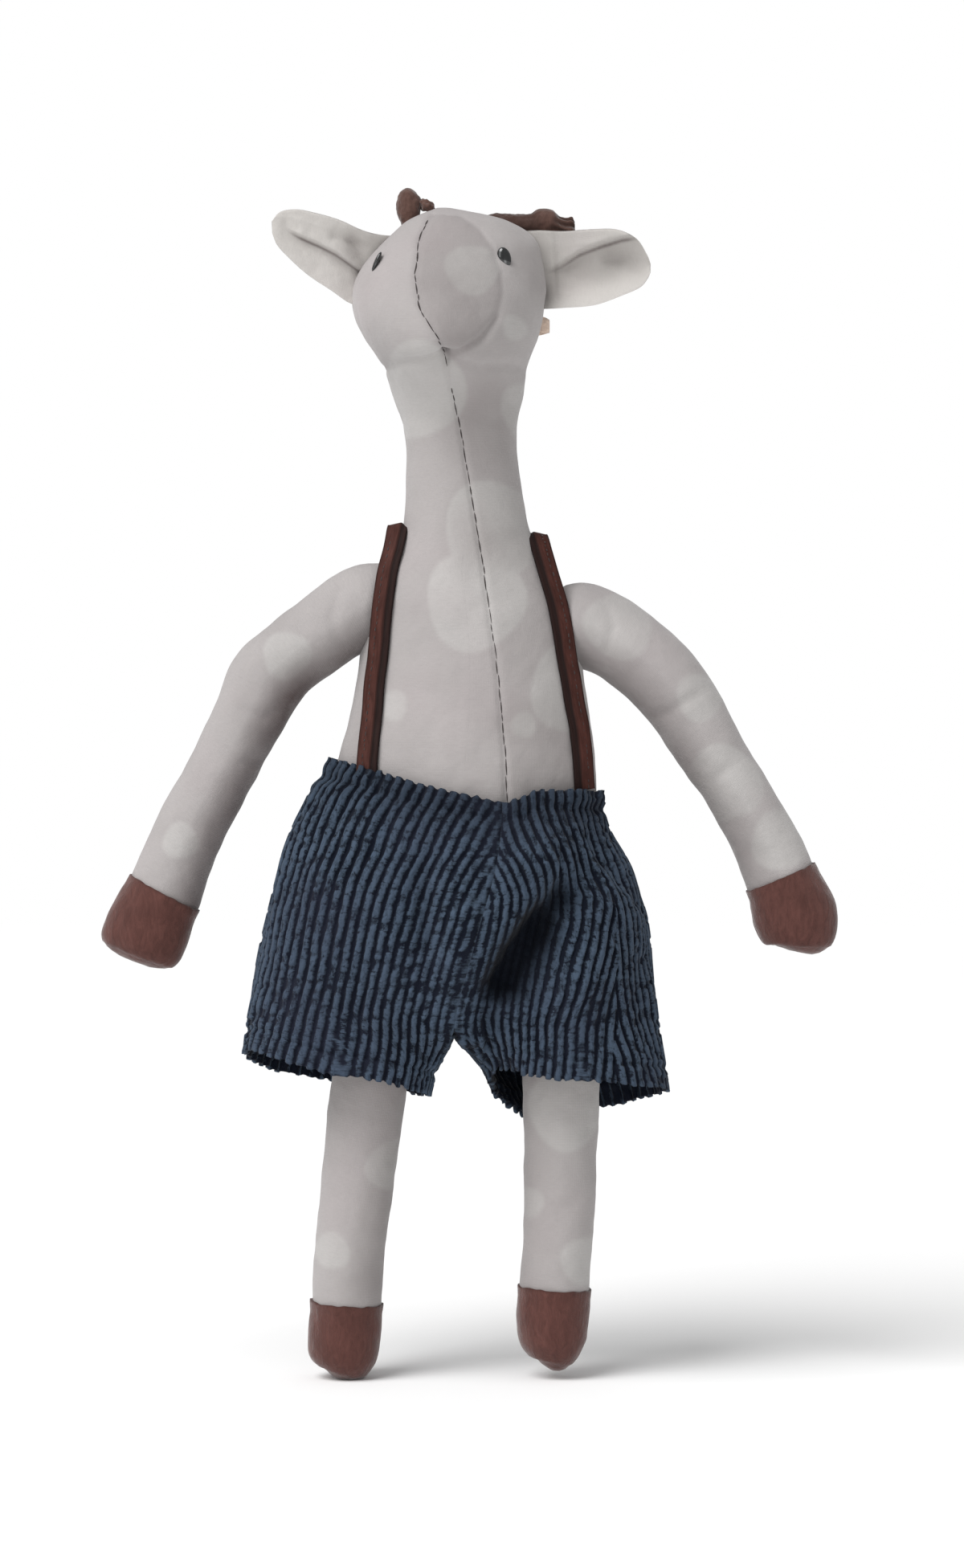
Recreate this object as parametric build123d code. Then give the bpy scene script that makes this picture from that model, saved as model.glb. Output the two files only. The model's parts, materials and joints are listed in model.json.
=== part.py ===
from build123d import *
import os

os.makedirs("parts", exist_ok=True)

# A stuffed cloth giraffe doll in corduroy shorts, standing upright with its arms held out and down.
# Millimetres. +Z runs from the foot hooves to the horns, the face looks along -Y, and +X is to the
# right of someone who faces the doll. "Left" and "right" name the sides as that person sees them.
# The origin is on the ground, in the middle of the doll's box.

# ---- cloth and clearances -------------------------------------------------------------------
COVER = 0.8          # thickness of the printed cotton cover
SUEDE = 1.0          # thickness of the suede hooves
CORD_CLOTH = 2.0     # thickness of the corduroy
GAP = 0.5            # clearance between pieces that move past each other
TOUCH = 0.05         # clearance between a trim and the cover that it sits on
BODY_Y = 6.0         # the body's middle plane lies this far behind the origin

# ---- joints ---------------------------------------------------------------------------------
NECK_Z = 300.0       # height of the neck's bending axis
NECK_DOME = 19.0     # radius of the body's neck end, about that axis
HIP_Z = 142.0        # height of both hips' axis
HIP_BARREL = 30.0    # outer radius of the shorts about the hip axis
HIP_PAD = 24.0       # radius of the stuffed hip inside the shorts
LEFT_HIP = (-46, -12)  # lowest and highest X of the left stuffed hip
RIGHT_HIP = (5, 44)  # lowest and highest X of the right stuffed hip
SHOULDER_X = 36.5    # half the distance between the two shoulder seams
SHOULDER_LOW = 238.0  # the flat seams where the arms meet the body start at this height

# ---- shorts ---------------------------------------------------------------------------------
WAIST_Z = 207.0      # top edge of the shorts
SEAT_FRONT_Z = 172.5  # lowest edge of the seat at the front, above the swinging legs
SEAT_BACK_Z = 147.0  # lowest edge of the seat at the back
HEM_Z = 97.0         # bottom edge of the shorts' legs
SKIRT_DEPTH = 27.5   # half the depth of a leg of the shorts
SKIRT_CORNER = 20.0  # radius of its rounded corners
BARREL_INSET = 3.0   # the barrel at the top of a leg of the shorts starts this far inside it
ELASTIC_THICK = 1.0  # thickness of the elastic in the waist
ELASTIC_WIDTH = 6.0
ELASTIC_DROP = 3.0   # distance from the top edge of the shorts down to the elastic
STRAP_THICK = 1.6    # thickness of the leather straps

# Level ellipses up the body: height, middle X, half width, half depth.
BODY = [
    (150, -5.0, 47.0, 26.0),
    (178, -5.0, 45.0, 25.5),
    (193, -4.0, 42.5, 24.8),
    (214, -1.1, 41.6, 24.3),
    (242, -0.5, 38.4, 23.0),
    (262, -2.0, 37.0, 21.5),
    (275, -3.5, 30.5, 19.5),
    (286, -3.2, 22.0, 17.4),
    (300, -3.0, 19.2, 16.6),
    (325, -4.2, 19.2, 16.6),
]

# The shorts' seat, outside: height, middle X, half width, half depth.
SEAT = [
    (140, -5.5, 67.0, 33.5),
    (161, -4.5, 62.5, 33.0),
    (177, -6.0, 57.0, 32.0),
    (193, -6.5, 50.5, 30.0),
    (207, -3.0, 46.5, 28.0),
]

# The shorts' legs, outside: height, lowest X, highest X.
LEFT_SKIRT = [(142, -71.0, -7.5), (115, -74.0, -7.6), (HEM_Z, -77.0, -11.0)]
RIGHT_SKIRT = [(142, -6.5, 60.5), (115, -5.5, 63.0), (HEM_Z, 1.5, 66.5)]

# The neck as it widens into the head: height, middle X, half width, half depth.
NECK = [
    (300, -3.0, 19.2, 16.6),
    (322, -4.6, 19.4, 16.8),
    (335, -5.3, 21.8, 19.0),
    (348, -6.0, 25.5, 22.0),
    (358, -6.4, 27.5, 23.5),
]

# The head from its back to the nose: distance behind the body's plane, height, half width, half height.
HEAD_X = -5.0
HEAD_TURN = -8.0     # degrees that the head looks to one side
HEAD = [
    (27, 366, 9.0, 8.5),
    (22, 366, 20.0, 17.5),
    (10, 366, 29.0, 25.0),
    (-3, 366, 30.6, 27.0),
    (-18, 364, 28.0, 24.0),
    (-31, 358, 20.5, 16.5),
    (-40, 352, 12.5, 10.0),
    (-45, 349, 6.0, 5.0),
]

# The face panel's outline on the front of the head, as X and Z.
FACE_PANEL = [
    (-9.0, 343.5), (-15.7, 352.0), (-18.9, 361.0), (-17.9, 372.0), (-14.3, 383.0), (-10.8, 392.5),
    (0.0, 392.5), (8.1, 380.0), (10.0, 369.0), (8.7, 357.5), (0.5, 349.0),
]

# The eyes' middles: X, distance behind the body's plane, Z.
EYES = {"left": (-31.0, -14.0, 377.0), "right": (13.0, -20.5, 378.0)}
EYE_HEIGHT = 8.6
HORN_Y = 11.0        # the horns stand this far behind the body's plane

# The upright horn: X, Z and radius of its rounded top and of the bump beside it.
LEFT_HORN_TOP = (-20.7, 395.4, 4.6)
LEFT_HORN_BUMP = (-14.5, 394.0, 4.0)
LEFT_HORN_STEM = 10.0  # height of the stem under the rounded top

# The horn that has flopped over: its stalk lies level, with two round gathers at the end.
STALK_START = (6.0, 390.0)
STALK_LONG = 24.0
STALK_RADIUS = 3.4
STALK_GATHERS = [(24.0, 391.6, 4.4), (31.0, 389.6, 3.9)]

# The tape loop: middle of its hole, and the sizes of the tape.
LOOP_PLACE = (21.5, 19.0, 354.6)
LOOP_HOLE = 2.6      # radius of the hole
LOOP_THICK = 0.8
LOOP_WIDTH = 6.0
LOOP_TAIL = 8.0      # length of the sewn-in ends

# The seam down the middle of the front: X and Z at its two ends.
SEAM_TOP = (-9.0, 344.0)
SEAM_BOTTOM = (15.0, 167.0)

# Arms: X, Z, half width across the arm, half depth. The hoof starts at the last place of the arm.
LEFT_ARM = [
    (-32.0, 263.0, 14.6, 14.2),
    (-54.9, 250.3, 13.4, 13.0),
    (-69.8, 235.5, 13.0, 12.4),
    (-82.0, 212.4, 11.8, 11.4),
    (-92.5, 190.0, 11.4, 11.0),
    (-101.5, 169.0, 12.2, 11.0),
    (-104.6, 161.0, 12.8, 11.0),
]
LEFT_HAND = [
    (-104.6, 161.0, 12.8, 11.0),
    (-109.0, 151.5, 14.4, 11.0),
    (-109.2, 144.0, 10.8, 9.0),
    (-107.0, 139.0, 4.5, 4.0),
]
RIGHT_ARM = [
    (32.0, 256.0, 14.6, 14.2),
    (50.5, 246.5, 13.6, 13.2),
    (62.5, 234.1, 13.0, 12.4),
    (74.4, 217.9, 11.7, 11.4),
    (86.7, 201.6, 10.8, 10.6),
    (96.3, 185.4, 10.9, 10.6),
    (104.2, 168.3, 11.8, 10.8),
]
RIGHT_HAND = [
    (104.2, 168.3, 11.8, 10.8),
    (109.1, 156.5, 14.2, 11.0),
    (109.6, 149.0, 10.8, 9.2),
    (108.0, 144.0, 4.5, 4.0),
]

# Legs: X, Z, half width, half depth, from the hip down. The hoof starts at the last place of the leg.
LEFT_LEG = [
    (-30.0, 142.0, 13.2, 13.0),
    (-35.5, 92.0, 12.6, 12.4),
    (-40.0, 52.0, 12.0, 11.8),
    (-42.4, 26.0, 11.7, 11.5),
]
LEFT_FOOT = [
    (-42.4, 26.0, 11.7, 11.5),
    (-43.4, 14.0, 11.0, 10.6),
    (-43.6, 5.0, 9.0, 8.6),
    (-43.6, 0.0, 5.0, 4.6),
]
RIGHT_LEG = [
    (30.0, 142.0, 13.2, 13.0),
    (29.5, 92.0, 12.6, 12.4),
    (29.2, 55.0, 12.0, 11.8),
    (28.6, 30.0, 11.8, 11.5),
]
RIGHT_FOOT = [
    (28.6, 30.0, 11.8, 11.5),
    (28.2, 17.0, 10.6, 10.2),
    (27.6, 8.0, 8.0, 7.6),
    (27.0, 3.0, 4.6, 4.2),
]

# Ears: outlines as X and Z. The first two points lie inside the head, which trims the ear.
EAR_THICK = 1.3      # thickness of one of the ear's two layers
EAR_GAP = 1.3        # room between the head and an ear's inner edge, which turns on its seam
LEFT_EAR = [
    (-31.0, 360.5), (-22.0, 383.6), (-45.0, 388.6), (-58.0, 391.0), (-65.8, 386.5), (-63.0, 377.5),
    (-53.5, 368.5), (-45.0, 364.0),
]
RIGHT_EAR = [
    (20.0, 360.0), (15.0, 384.2), (37.0, 385.6), (48.0, 385.4), (58.2, 372.5), (50.0, 367.0),
    (38.0, 361.5),
]

# Straps, seen from the front: the band's two edges as X and Z, from the waist to behind the neck.
LEFT_STRAP = [(-37.5, 207.2), (-30.6, 207.2), (-26.5, 262.0), (-22.6, 288.0), (-29.6, 288.0), (-33.6, 262.0)]
RIGHT_STRAP = [(32.6, 207.2), (39.6, 207.2), (35.2, 258.0), (26.4, 284.0), (19.6, 284.0), (28.4, 258.0)]


# ---- shapes that several pieces share ---------------------------------------------------------
def level_loft(rows, grow=0.0):
    """A solid through level ellipses, grown outwards by a thickness."""
    return loft([Plane((x, BODY_Y, z)) * Ellipse(w + grow, d + grow) for z, x, w, d in rows], ruled=True)


def head_loft(grow=0.0):
    """The head, from its back to the nose, turned a little to one side."""
    rows = [(y, z, w + grow, h + grow) for y, z, w, h in HEAD]
    first = rows[0]
    last = rows[-1]
    rows[0] = (first[0] + grow,) + first[1:]
    rows[-1] = (last[0] - grow,) + last[1:]
    facing = [
        Plane((HEAD_X, BODY_Y + y, z), x_dir=(1, 0, 0), z_dir=(0, -1, 0)) * Ellipse(w, h)
        for y, z, w, h in rows
    ]
    return loft(facing).rotate(Axis((HEAD_X, BODY_Y, 0), (0, 0, 1)), HEAD_TURN)


def limb_planes(places):
    """A plane square to the limb at each of its places."""
    planes = []
    for i, place in enumerate(places):
        before = places[max(i - 1, 0)]
        after = places[min(i + 1, len(places) - 1)]
        run = Vector(after[0] - before[0], 0, after[1] - before[1]).normalized()
        across = run.cross(Vector(0, 1, 0))
        planes.append(Plane((place[0], BODY_Y, place[1]), x_dir=across, z_dir=run))
    return planes


def limb_loft(places, planes, shrink=0.0):
    """A solid through ellipses square to the limb, shrunk by a thickness."""
    return loft([plane * Ellipse(p[2] - shrink, p[3] - shrink) for p, plane in zip(places, planes)])


def front_prism(outline, front, back):
    """An outline in X and Z, made solid between two distances behind the body's plane."""
    face = Plane.XZ.offset(-(BODY_Y + back)) * make_face(Polyline(*outline, close=True))
    return extrude(face, back - front)


def slab(low, high):
    """Everything between two heights."""
    return Pos(0, 0, (low + high) / 2) * Box(400, 400, high - low)


def barrel(radius, low_x, high_x):
    """A cylinder about the hips' axis."""
    middle = Plane(((low_x + high_x) / 2, BODY_Y, HIP_Z), x_dir=(0, 1, 0), z_dir=(1, 0, 0))
    return middle * Cylinder(radius, high_x - low_x)


def neck_cylinder(radius):
    """A cylinder about the neck's bending axis, longer than the neck is wide."""
    return Plane((0, BODY_Y, NECK_Z), x_dir=(0, 1, 0), z_dir=(1, 0, 0)) * Cylinder(radius, 120)


def seam_side(side):
    """The space on one side of the seam down the front: -1 for the left, +1 for the right."""
    slope = (SEAM_TOP[0] - SEAM_BOTTOM[0]) / (SEAM_TOP[1] - SEAM_BOTTOM[1])
    top = (SEAM_TOP[0] + slope * 100, SEAM_TOP[1] + 100)
    bottom = (SEAM_BOTTOM[0] - slope * 100, SEAM_BOTTOM[1] - 100)
    far = 200 * side
    return front_prism([bottom, top, (far, top[1]), (far, bottom[1])], -100, 100)


def save(node, shape):
    """Write one piece as its own file."""
    shape.label = node
    export_step(shape, f"parts/{node}.step")


# ---- body ---------------------------------------------------------------------------------------
def leg_room():
    """The space that the legs of the shorts sweep through: the barrel, the front and the back."""
    front = Pos(0, BODY_Y - 50, SEAT_FRONT_Z - 50) * Box(300, 100, 100)
    back = Pos(0, BODY_Y + 50, SEAT_BACK_Z - 50) * Box(300, 100, 100)
    return barrel(HIP_BARREL + GAP, -100, 100) + front + back


def trim_body(shape):
    """Cut the body at the shoulder seams, over the hips and at the neck's bend."""
    above_bend = slab(NECK_Z, 500) - neck_cylinder(NECK_DOME)
    left_side = Pos(-SHOULDER_X - 50, BODY_Y, SHOULDER_LOW + 100) * Box(100, 100, 200)
    right_side = Pos(SHOULDER_X + 50, BODY_Y, SHOULDER_LOW + 100) * Box(100, 100, 200)
    return shape - above_bend - leg_room() - left_side - right_side


def make_body():
    stuffing = trim_body(level_loft(BODY, -COVER))
    cover = trim_body(level_loft(BODY)) - stuffing
    save("body_stuffing", stuffing)
    save("body_cover_left", cover & seam_side(-1))
    save("body_cover_right", cover & seam_side(1))


def make_straps():
    """Leather bands on the chest, over the shoulders and down the back."""
    band = trim_body(level_loft(BODY, GAP + STRAP_THICK)) - level_loft(BODY, GAP)
    save("strap_left", band & front_prism(LEFT_STRAP, -60, 60))
    save("strap_right", band & front_prism(RIGHT_STRAP, -60, 60))


# ---- shorts ---------------------------------------------------------------------------------------
def make_seat():
    """The top of the shorts, open over the swinging hips, with the elastic in its waist."""
    shell = level_loft(SEAT) - level_loft(SEAT, -CORD_CLOTH)
    shell = shell - leg_room()
    save("shorts_seat_left", shell & seam_side(-1))
    save("shorts_seat_right", shell & seam_side(1))
    elastic = level_loft(BODY, GAP + ELASTIC_THICK) - level_loft(BODY, GAP)
    elastic_top = WAIST_Z - ELASTIC_DROP
    save("waist_elastic", elastic & slab(elastic_top - ELASTIC_WIDTH, elastic_top))


def skirt_loft(sections, shrink=0.0):
    """One leg of the shorts through rounded rectangles: height, lowest X, highest X."""
    outlines = []
    for z, low, high in sections:
        wide = high - low - 2 * shrink
        deep = 2 * (SKIRT_DEPTH - shrink)
        corner = SKIRT_CORNER - shrink
        place = Plane(((low + high) / 2, BODY_Y, z))
        outlines.append(place * RectangleRounded(wide, deep, corner))
    return loft(outlines, ruled=True)


def make_shorts_leg(side, sections):
    """A bell of corduroy round the leg, with a barrel about the hip at its top."""
    low = sections[0][1] + BARREL_INSET
    high = sections[0][2]
    below_hem = (HEM_Z - 5.0, sections[-1][1], sections[-1][2])
    outer = skirt_loft(sections) + barrel(HIP_BARREL, low, high)
    hollow = skirt_loft(sections + [below_hem], CORD_CLOTH)
    hollow += barrel(HIP_BARREL - CORD_CLOTH, low + CORD_CLOTH, high - CORD_CLOTH)
    save(f"shorts_leg_{side}", outer - hollow)


# ---- head -----------------------------------------------------------------------------------------
def make_head():
    below_bend = neck_cylinder(NECK_DOME + GAP) + slab(200, NECK_Z)
    outer = (level_loft(NECK) + head_loft()) - below_bend
    inner = (level_loft(NECK, -COVER) + head_loft(-COVER)) - below_bend
    cover = outer - inner
    panel_room = front_prism(FACE_PANEL, -90, -4)
    save("head_stuffing", inner)
    save("face_panel", cover & panel_room)
    save("head_cover_left", (cover - panel_room) & seam_side(-1))
    save("head_cover_right", (cover - panel_room) & seam_side(1))
    return level_loft(NECK, TOUCH) + head_loft(TOUCH)


def make_eyes(head):
    """Glossy beads set into the two sides of the face."""
    for side, (x, y, z) in EYES.items():
        bead = Pos(x, BODY_Y + y, z) * scale(Sphere(EYE_HEIGHT / 2), by=(0.72, 0.72, 1.0))
        save(f"eye_{side}", bead - head)


def make_horns(head):
    """An upright suede knob at the left, and a stalk that has flopped over at the right."""
    y = BODY_Y + HORN_Y
    x, z, radius = LEFT_HORN_TOP
    bump_x, bump_z, bump_radius = LEFT_HORN_BUMP
    knob = Pos(x, y, z) * Sphere(radius)
    knob += Pos(x, y, z - LEFT_HORN_STEM / 2) * Cylinder(radius, LEFT_HORN_STEM)
    knob += Pos(bump_x, y, bump_z) * Sphere(bump_radius)
    save("horn_left", knob - head)
    along = Plane((STALK_START[0], y, STALK_START[1]), x_dir=(0, 1, 0), z_dir=(1, 0, 0))
    stalk = along * Pos(0, 0, STALK_LONG / 2) * Cylinder(STALK_RADIUS, STALK_LONG)
    for x, z, radius in STALK_GATHERS:
        stalk += Pos(x, y, z) * Sphere(radius)
    save("horn_right", stalk - head)


def make_loop(head):
    """A folded tape loop sewn in at the back of the head; its hole runs along X."""
    x, y, z = LOOP_PLACE
    plane = Plane((x, BODY_Y + y, z), x_dir=(0, 1, 0), z_dir=(1, 0, 0))
    ring = plane * (Cylinder(LOOP_HOLE + LOOP_THICK, LOOP_WIDTH) - Cylinder(LOOP_HOLE, LOOP_WIDTH))
    ends = plane * Pos(-LOOP_HOLE - LOOP_TAIL / 2 - 0.2, 0, 0) * Box(LOOP_TAIL, 2 * LOOP_THICK, LOOP_WIDTH)
    save("hanging_loop", (ring + ends) - head)


def make_ear(side, outline):
    """Two flat layers of cloth whose inner edge follows the side of the head."""
    clear_head = head_loft(EAR_GAP)
    save(f"ear_{side}_front", front_prism(outline, -EAR_THICK, 0) - clear_head)
    save(f"ear_{side}_back", front_prism(outline, 0, EAR_THICK) - clear_head)


# ---- limbs ----------------------------------------------------------------------------------------
def make_limb(limb, side, upper, lower, hip=None, cut=None):
    """A stuffed cloth tube with a suede hoof sewn on its end, and a stuffed hip or a cut shoulder."""
    upper_planes = limb_planes(upper + lower[1:])[: len(upper)]
    lower_planes = limb_planes(upper + lower[1:])[len(upper) - 1:]
    inner_lower = list(lower_planes)
    inner_lower[-1] = lower_planes[-1].offset(-SUEDE)
    inner = limb_loft(upper, upper_planes, COVER) + limb_loft(lower, inner_lower, SUEDE)
    sleeve = limb_loft(upper, upper_planes) - inner
    hoof = limb_loft(lower, lower_planes) - inner - limb_loft(upper, upper_planes)
    if hip is not None:
        inner += hip
        sleeve -= hip
    if cut is not None:
        inner -= cut
        sleeve -= cut
    save(f"{limb}_{side}_stuffing", inner)
    save(f"{limb}_{side}_sleeve", sleeve)
    save(f"{limb}_{side}_hoof", hoof)


make_body()
make_straps()
make_seat()
make_shorts_leg("left", LEFT_SKIRT)
make_shorts_leg("right", RIGHT_SKIRT)

head = make_head()
make_eyes(head)
make_horns(head)
make_loop(head)
make_ear("left", LEFT_EAR)
make_ear("right", RIGHT_EAR)

shoulders = Pos(0, BODY_Y, 260) * Box(2 * (SHOULDER_X + GAP), 100, 100)
make_limb("arm", "left", LEFT_ARM, LEFT_HAND, cut=shoulders)
make_limb("arm", "right", RIGHT_ARM, RIGHT_HAND, cut=shoulders)
make_limb("leg", "left", LEFT_LEG, LEFT_FOOT, hip=barrel(HIP_PAD, *LEFT_HIP))
make_limb("leg", "right", RIGHT_LEG, RIGHT_FOOT, hip=barrel(HIP_PAD, *RIGHT_HIP))
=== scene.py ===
"""Stuffed cloth giraffe doll in corduroy shorts, laid out as an add-on.

The sewn covers, corduroy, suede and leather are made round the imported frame, in metres: +Z runs up
the doll, the face looks along -Y, and +X is to the right of someone facing it.
"""

import json
import math

import bpy
import numpy as np
from bpy.props import FloatProperty, FloatVectorProperty, IntProperty, PointerProperty
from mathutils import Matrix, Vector
from mathutils.bvhtree import BVHTree
from mathutils.noise import noise


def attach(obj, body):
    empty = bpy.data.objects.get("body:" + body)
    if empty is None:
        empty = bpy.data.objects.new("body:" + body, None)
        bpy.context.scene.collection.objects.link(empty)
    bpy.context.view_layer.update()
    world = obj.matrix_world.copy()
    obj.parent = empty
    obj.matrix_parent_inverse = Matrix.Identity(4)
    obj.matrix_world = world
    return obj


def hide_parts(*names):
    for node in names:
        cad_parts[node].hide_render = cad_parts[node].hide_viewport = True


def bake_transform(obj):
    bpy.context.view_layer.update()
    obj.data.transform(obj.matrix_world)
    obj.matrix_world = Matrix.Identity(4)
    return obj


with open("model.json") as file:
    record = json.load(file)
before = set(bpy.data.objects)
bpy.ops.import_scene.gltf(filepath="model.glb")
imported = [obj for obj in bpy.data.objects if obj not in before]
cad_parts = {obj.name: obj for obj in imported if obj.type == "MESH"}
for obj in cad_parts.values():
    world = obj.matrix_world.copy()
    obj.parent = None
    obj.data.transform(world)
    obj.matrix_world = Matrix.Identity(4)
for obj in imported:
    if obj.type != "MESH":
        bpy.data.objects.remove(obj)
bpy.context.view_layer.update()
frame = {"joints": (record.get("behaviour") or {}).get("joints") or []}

bl_info = {
    "name": "Cloth Giraffe Doll",
    "version": (1, 0, 0),
    "blender": (4, 5, 0),
    "location": "3D View > Sidebar > Giraffe",
    "description": "Sews a stuffed giraffe doll in corduroy shorts round its jointed frame",
    "category": "Object",
}

MM = 0.001
JOINT_PLACES = {joint["name"]: joint["pos_m"] for joint in frame["joints"]}
MID_Y = JOINT_PLACES["neck_nod"][1] / MM  # the body's middle plane, in millimetres

# ---- outlines of the soft parts, in millimetres ----------------------------------------------

# The body, neck and head as tilted rings from the hips to the crown: height at the front, height at
# the back, middle X, half width, reach to the front, reach to the back, drift of the front in X.
SKIN_RINGS = [
    (152, 152, -5.0, 30.0, 17.0, 17.0, 0.0),
    (154, 154, -5.0, 40.0, 23.0, 23.0, 0.0),
    (162, 162, -5.0, 44.5, 26.0, 25.0, 0.0),
    (178, 178, -4.8, 45.5, 27.0, 26.0, 0.0),
    (196, 196, -3.0, 44.6, 28.0, 26.0, 0.0),
    (210, 210, -1.9, 42.9, 27.5, 25.0, 0.0),
    (222, 222, -0.8, 40.6, 26.4, 24.0, 0.0),
    (236, 236, -0.5, 38.2, 25.2, 23.2, 0.0),
    (250, 250, -1.0, 36.6, 24.0, 22.4, 0.0),
    (262, 262, -2.2, 34.4, 22.8, 21.4, 0.0),
    (271, 271, -3.2, 30.8, 20.8, 19.8, 0.0),
    (278, 278, -2.5, 25.6, 19.2, 18.6, 0.0),
    (284, 284, -2.2, 21.8, 18.2, 17.6, 0.0),
    (291, 291, -2.4, 20.2, 17.4, 17.0, 0.0),
    (300, 300, -2.8, 19.4, 16.9, 16.8, 0.0),
    (312, 312, -3.5, 18.7, 16.6, 16.8, 0.0),
    (320, 321, -4.2, 19.3, 17.2, 17.3, 0.0),
    (325.5, 328, -4.7, 20.7, 18.9, 18.4, -0.2),
    (329.4, 334, -5.1, 22.0, 22.0, 19.7, -0.6),
    (332.4, 340, -5.5, 23.1, 26.8, 21.4, -1.3),
    (335.2, 346, -5.8, 24.3, 32.8, 23.3, -2.1),
    (338.6, 352, -6.3, 26.6, 38.6, 25.2, -2.8),
    (343.4, 358, -7.1, 29.3, 42.6, 26.7, -3.3),
    (349.6, 364, -7.8, 31.4, 43.4, 27.7, -3.3),
    (356.4, 369, -8.0, 32.3, 40.6, 27.9, -2.9),
    (363, 374, -7.6, 32.2, 35.6, 27.2, -2.2),
    (372, 380, -6.4, 29.6, 28.0, 24.4, -1.4),
    (381, 386, -4.2, 25.2, 20.4, 20.0, -1.0),
    (388, 390, -4.6, 18.2, 13.0, 14.0, -1.6),
    (391.6, 393, -7.0, 9.4, 7.0, 8.0, -2.6),
    (394.0, 394.4, -9.6, 2.4, 2.0, 2.4, -1.0),
]

# Arms and legs: X, distance behind the middle plane, Z, half width, half depth.
LEFT_ARM = [
    (-29.0, 0.0, 261.5, 11.0, 11.0), (-33.0, 0.0, 261.3, 13.6, 13.0), (-41.0, 0.0, 257.4, 13.6, 13.2),
    (-51.0, 0.0, 250.4, 13.0, 12.8), (-61.0, 0.0, 243.2, 12.9, 12.4), (-69.0, 0.0, 235.2, 13.2, 12.2),
    (-74.4, 0.0, 224.4, 12.2, 11.8), (-80.4, 0.0, 212.4, 11.6, 11.4), (-87.0, 0.0, 200.0, 11.5, 11.2),
    (-94.5, 0.0, 186.0, 11.6, 11.0), (-99.5, 0.0, 174.5, 11.9, 10.8), (-103.6, 0.0, 163.5, 12.5, 10.6),
]
LEFT_HAND = [
    (-103.6, 0.0, 163.5, 12.5, 10.6), (-106.4, 0.0, 158.2, 13.1, 10.8), (-109.4, 0.0, 151.4, 13.9, 10.6),
    (-111.4, 0.0, 146.6, 13.8, 9.8), (-112.6, 0.0, 143.6, 12.8, 8.4), (-113.4, 0.0, 141.6, 10.4, 6.2),
    (-113.9, 0.0, 140.4, 5.6, 3.2),
]
RIGHT_ARM = [
    (29.0, 0.0, 254.3, 11.0, 11.0), (33.0, 0.0, 254.2, 13.6, 13.0), (41.0, 0.0, 252.4, 14.2, 13.4),
    (51.6, 0.0, 246.4, 13.4, 13.0), (62.0, 0.0, 238.0, 13.2, 12.4), (69.6, 0.0, 228.6, 12.8, 12.0),
    (75.8, 0.0, 218.6, 12.0, 11.4), (82.0, 0.0, 208.0, 11.1, 11.0), (89.0, 0.0, 197.6, 10.7, 10.6),
    (95.0, 0.0, 187.4, 10.9, 10.4), (99.8, 0.0, 178.0, 11.3, 10.4), (103.6, 0.0, 168.6, 11.8, 10.4),
]
RIGHT_HAND = [
    (103.6, 0.0, 168.6, 11.8, 10.4), (106.2, 0.0, 162.4, 13.0, 10.6), (108.4, 0.0, 156.8, 13.8, 10.6),
    (109.7, 0.0, 151.8, 13.2, 10.0), (110.6, 0.0, 147.6, 11.4, 8.8), (110.6, 0.0, 144.6, 8.0, 6.4),
    (110.4, 0.0, 143.2, 4.0, 3.4),
]
LEFT_LEG = [
    (-29.5, 0.0, 150.0, 9.0, 9.0), (-30.2, 0.0, 142.0, 13.4, 13.0), (-32.4, 0.0, 120.0, 13.2, 12.8),
    (-35.4, 0.0, 94.0, 12.8, 12.4), (-37.6, 0.0, 76.0, 12.4, 12.0), (-39.6, 0.0, 60.0, 12.1, 11.8),
    (-41.4, 0.0, 44.0, 12.0, 11.6), (-42.4, 0.0, 25.6, 11.7, 11.4),
]
LEFT_FOOT = [
    (-42.4, 0.0, 25.6, 11.7, 11.4), (-43.0, 0.0, 16.0, 11.8, 11.4), (-43.6, 0.0, 8.4, 11.4, 10.8),
    (-44.2, 0.0, 4.4, 9.6, 9.2), (-45.0, 0.0, 1.8, 6.6, 6.4), (-45.8, 0.0, 0.3, 3.0, 2.8),
]
RIGHT_LEG = [
    (30.5, 0.0, 150.0, 9.0, 9.0), (30.2, 0.0, 142.0, 13.4, 13.0), (30.0, 0.0, 120.0, 13.2, 12.8),
    (29.8, 0.0, 94.0, 12.9, 12.4), (29.6, 0.0, 76.0, 12.3, 12.0), (29.2, 0.0, 58.0, 11.9, 11.6),
    (28.6, 0.0, 44.0, 11.6, 11.4), (27.6, 0.0, 30.6, 11.7, 11.4),
]
RIGHT_FOOT = [
    (27.6, 0.0, 30.6, 11.7, 11.4), (27.0, 0.0, 21.0, 11.9, 11.4), (26.8, 0.0, 14.0, 11.2, 10.6),
    (26.6, 0.0, 9.0, 9.2, 8.8), (26.0, 0.0, 5.6, 6.4, 6.2), (25.2, 0.0, 4.0, 3.0, 2.8),
]

# The seam down the middle of the front, from the nose to the waist, as X and Z.
FRONT_SEAM = [(-8.4, 338.4), (-6.8, 331.0), (-4.4, 320.0), (-1.6, 303.0), (0.6, 290.0), (3.2, 275.0),
              (5.8, 256.0), (8.2, 239.0), (10.0, 220.0), (11.0, 206.0), (11.8, 186.0)]
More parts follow.
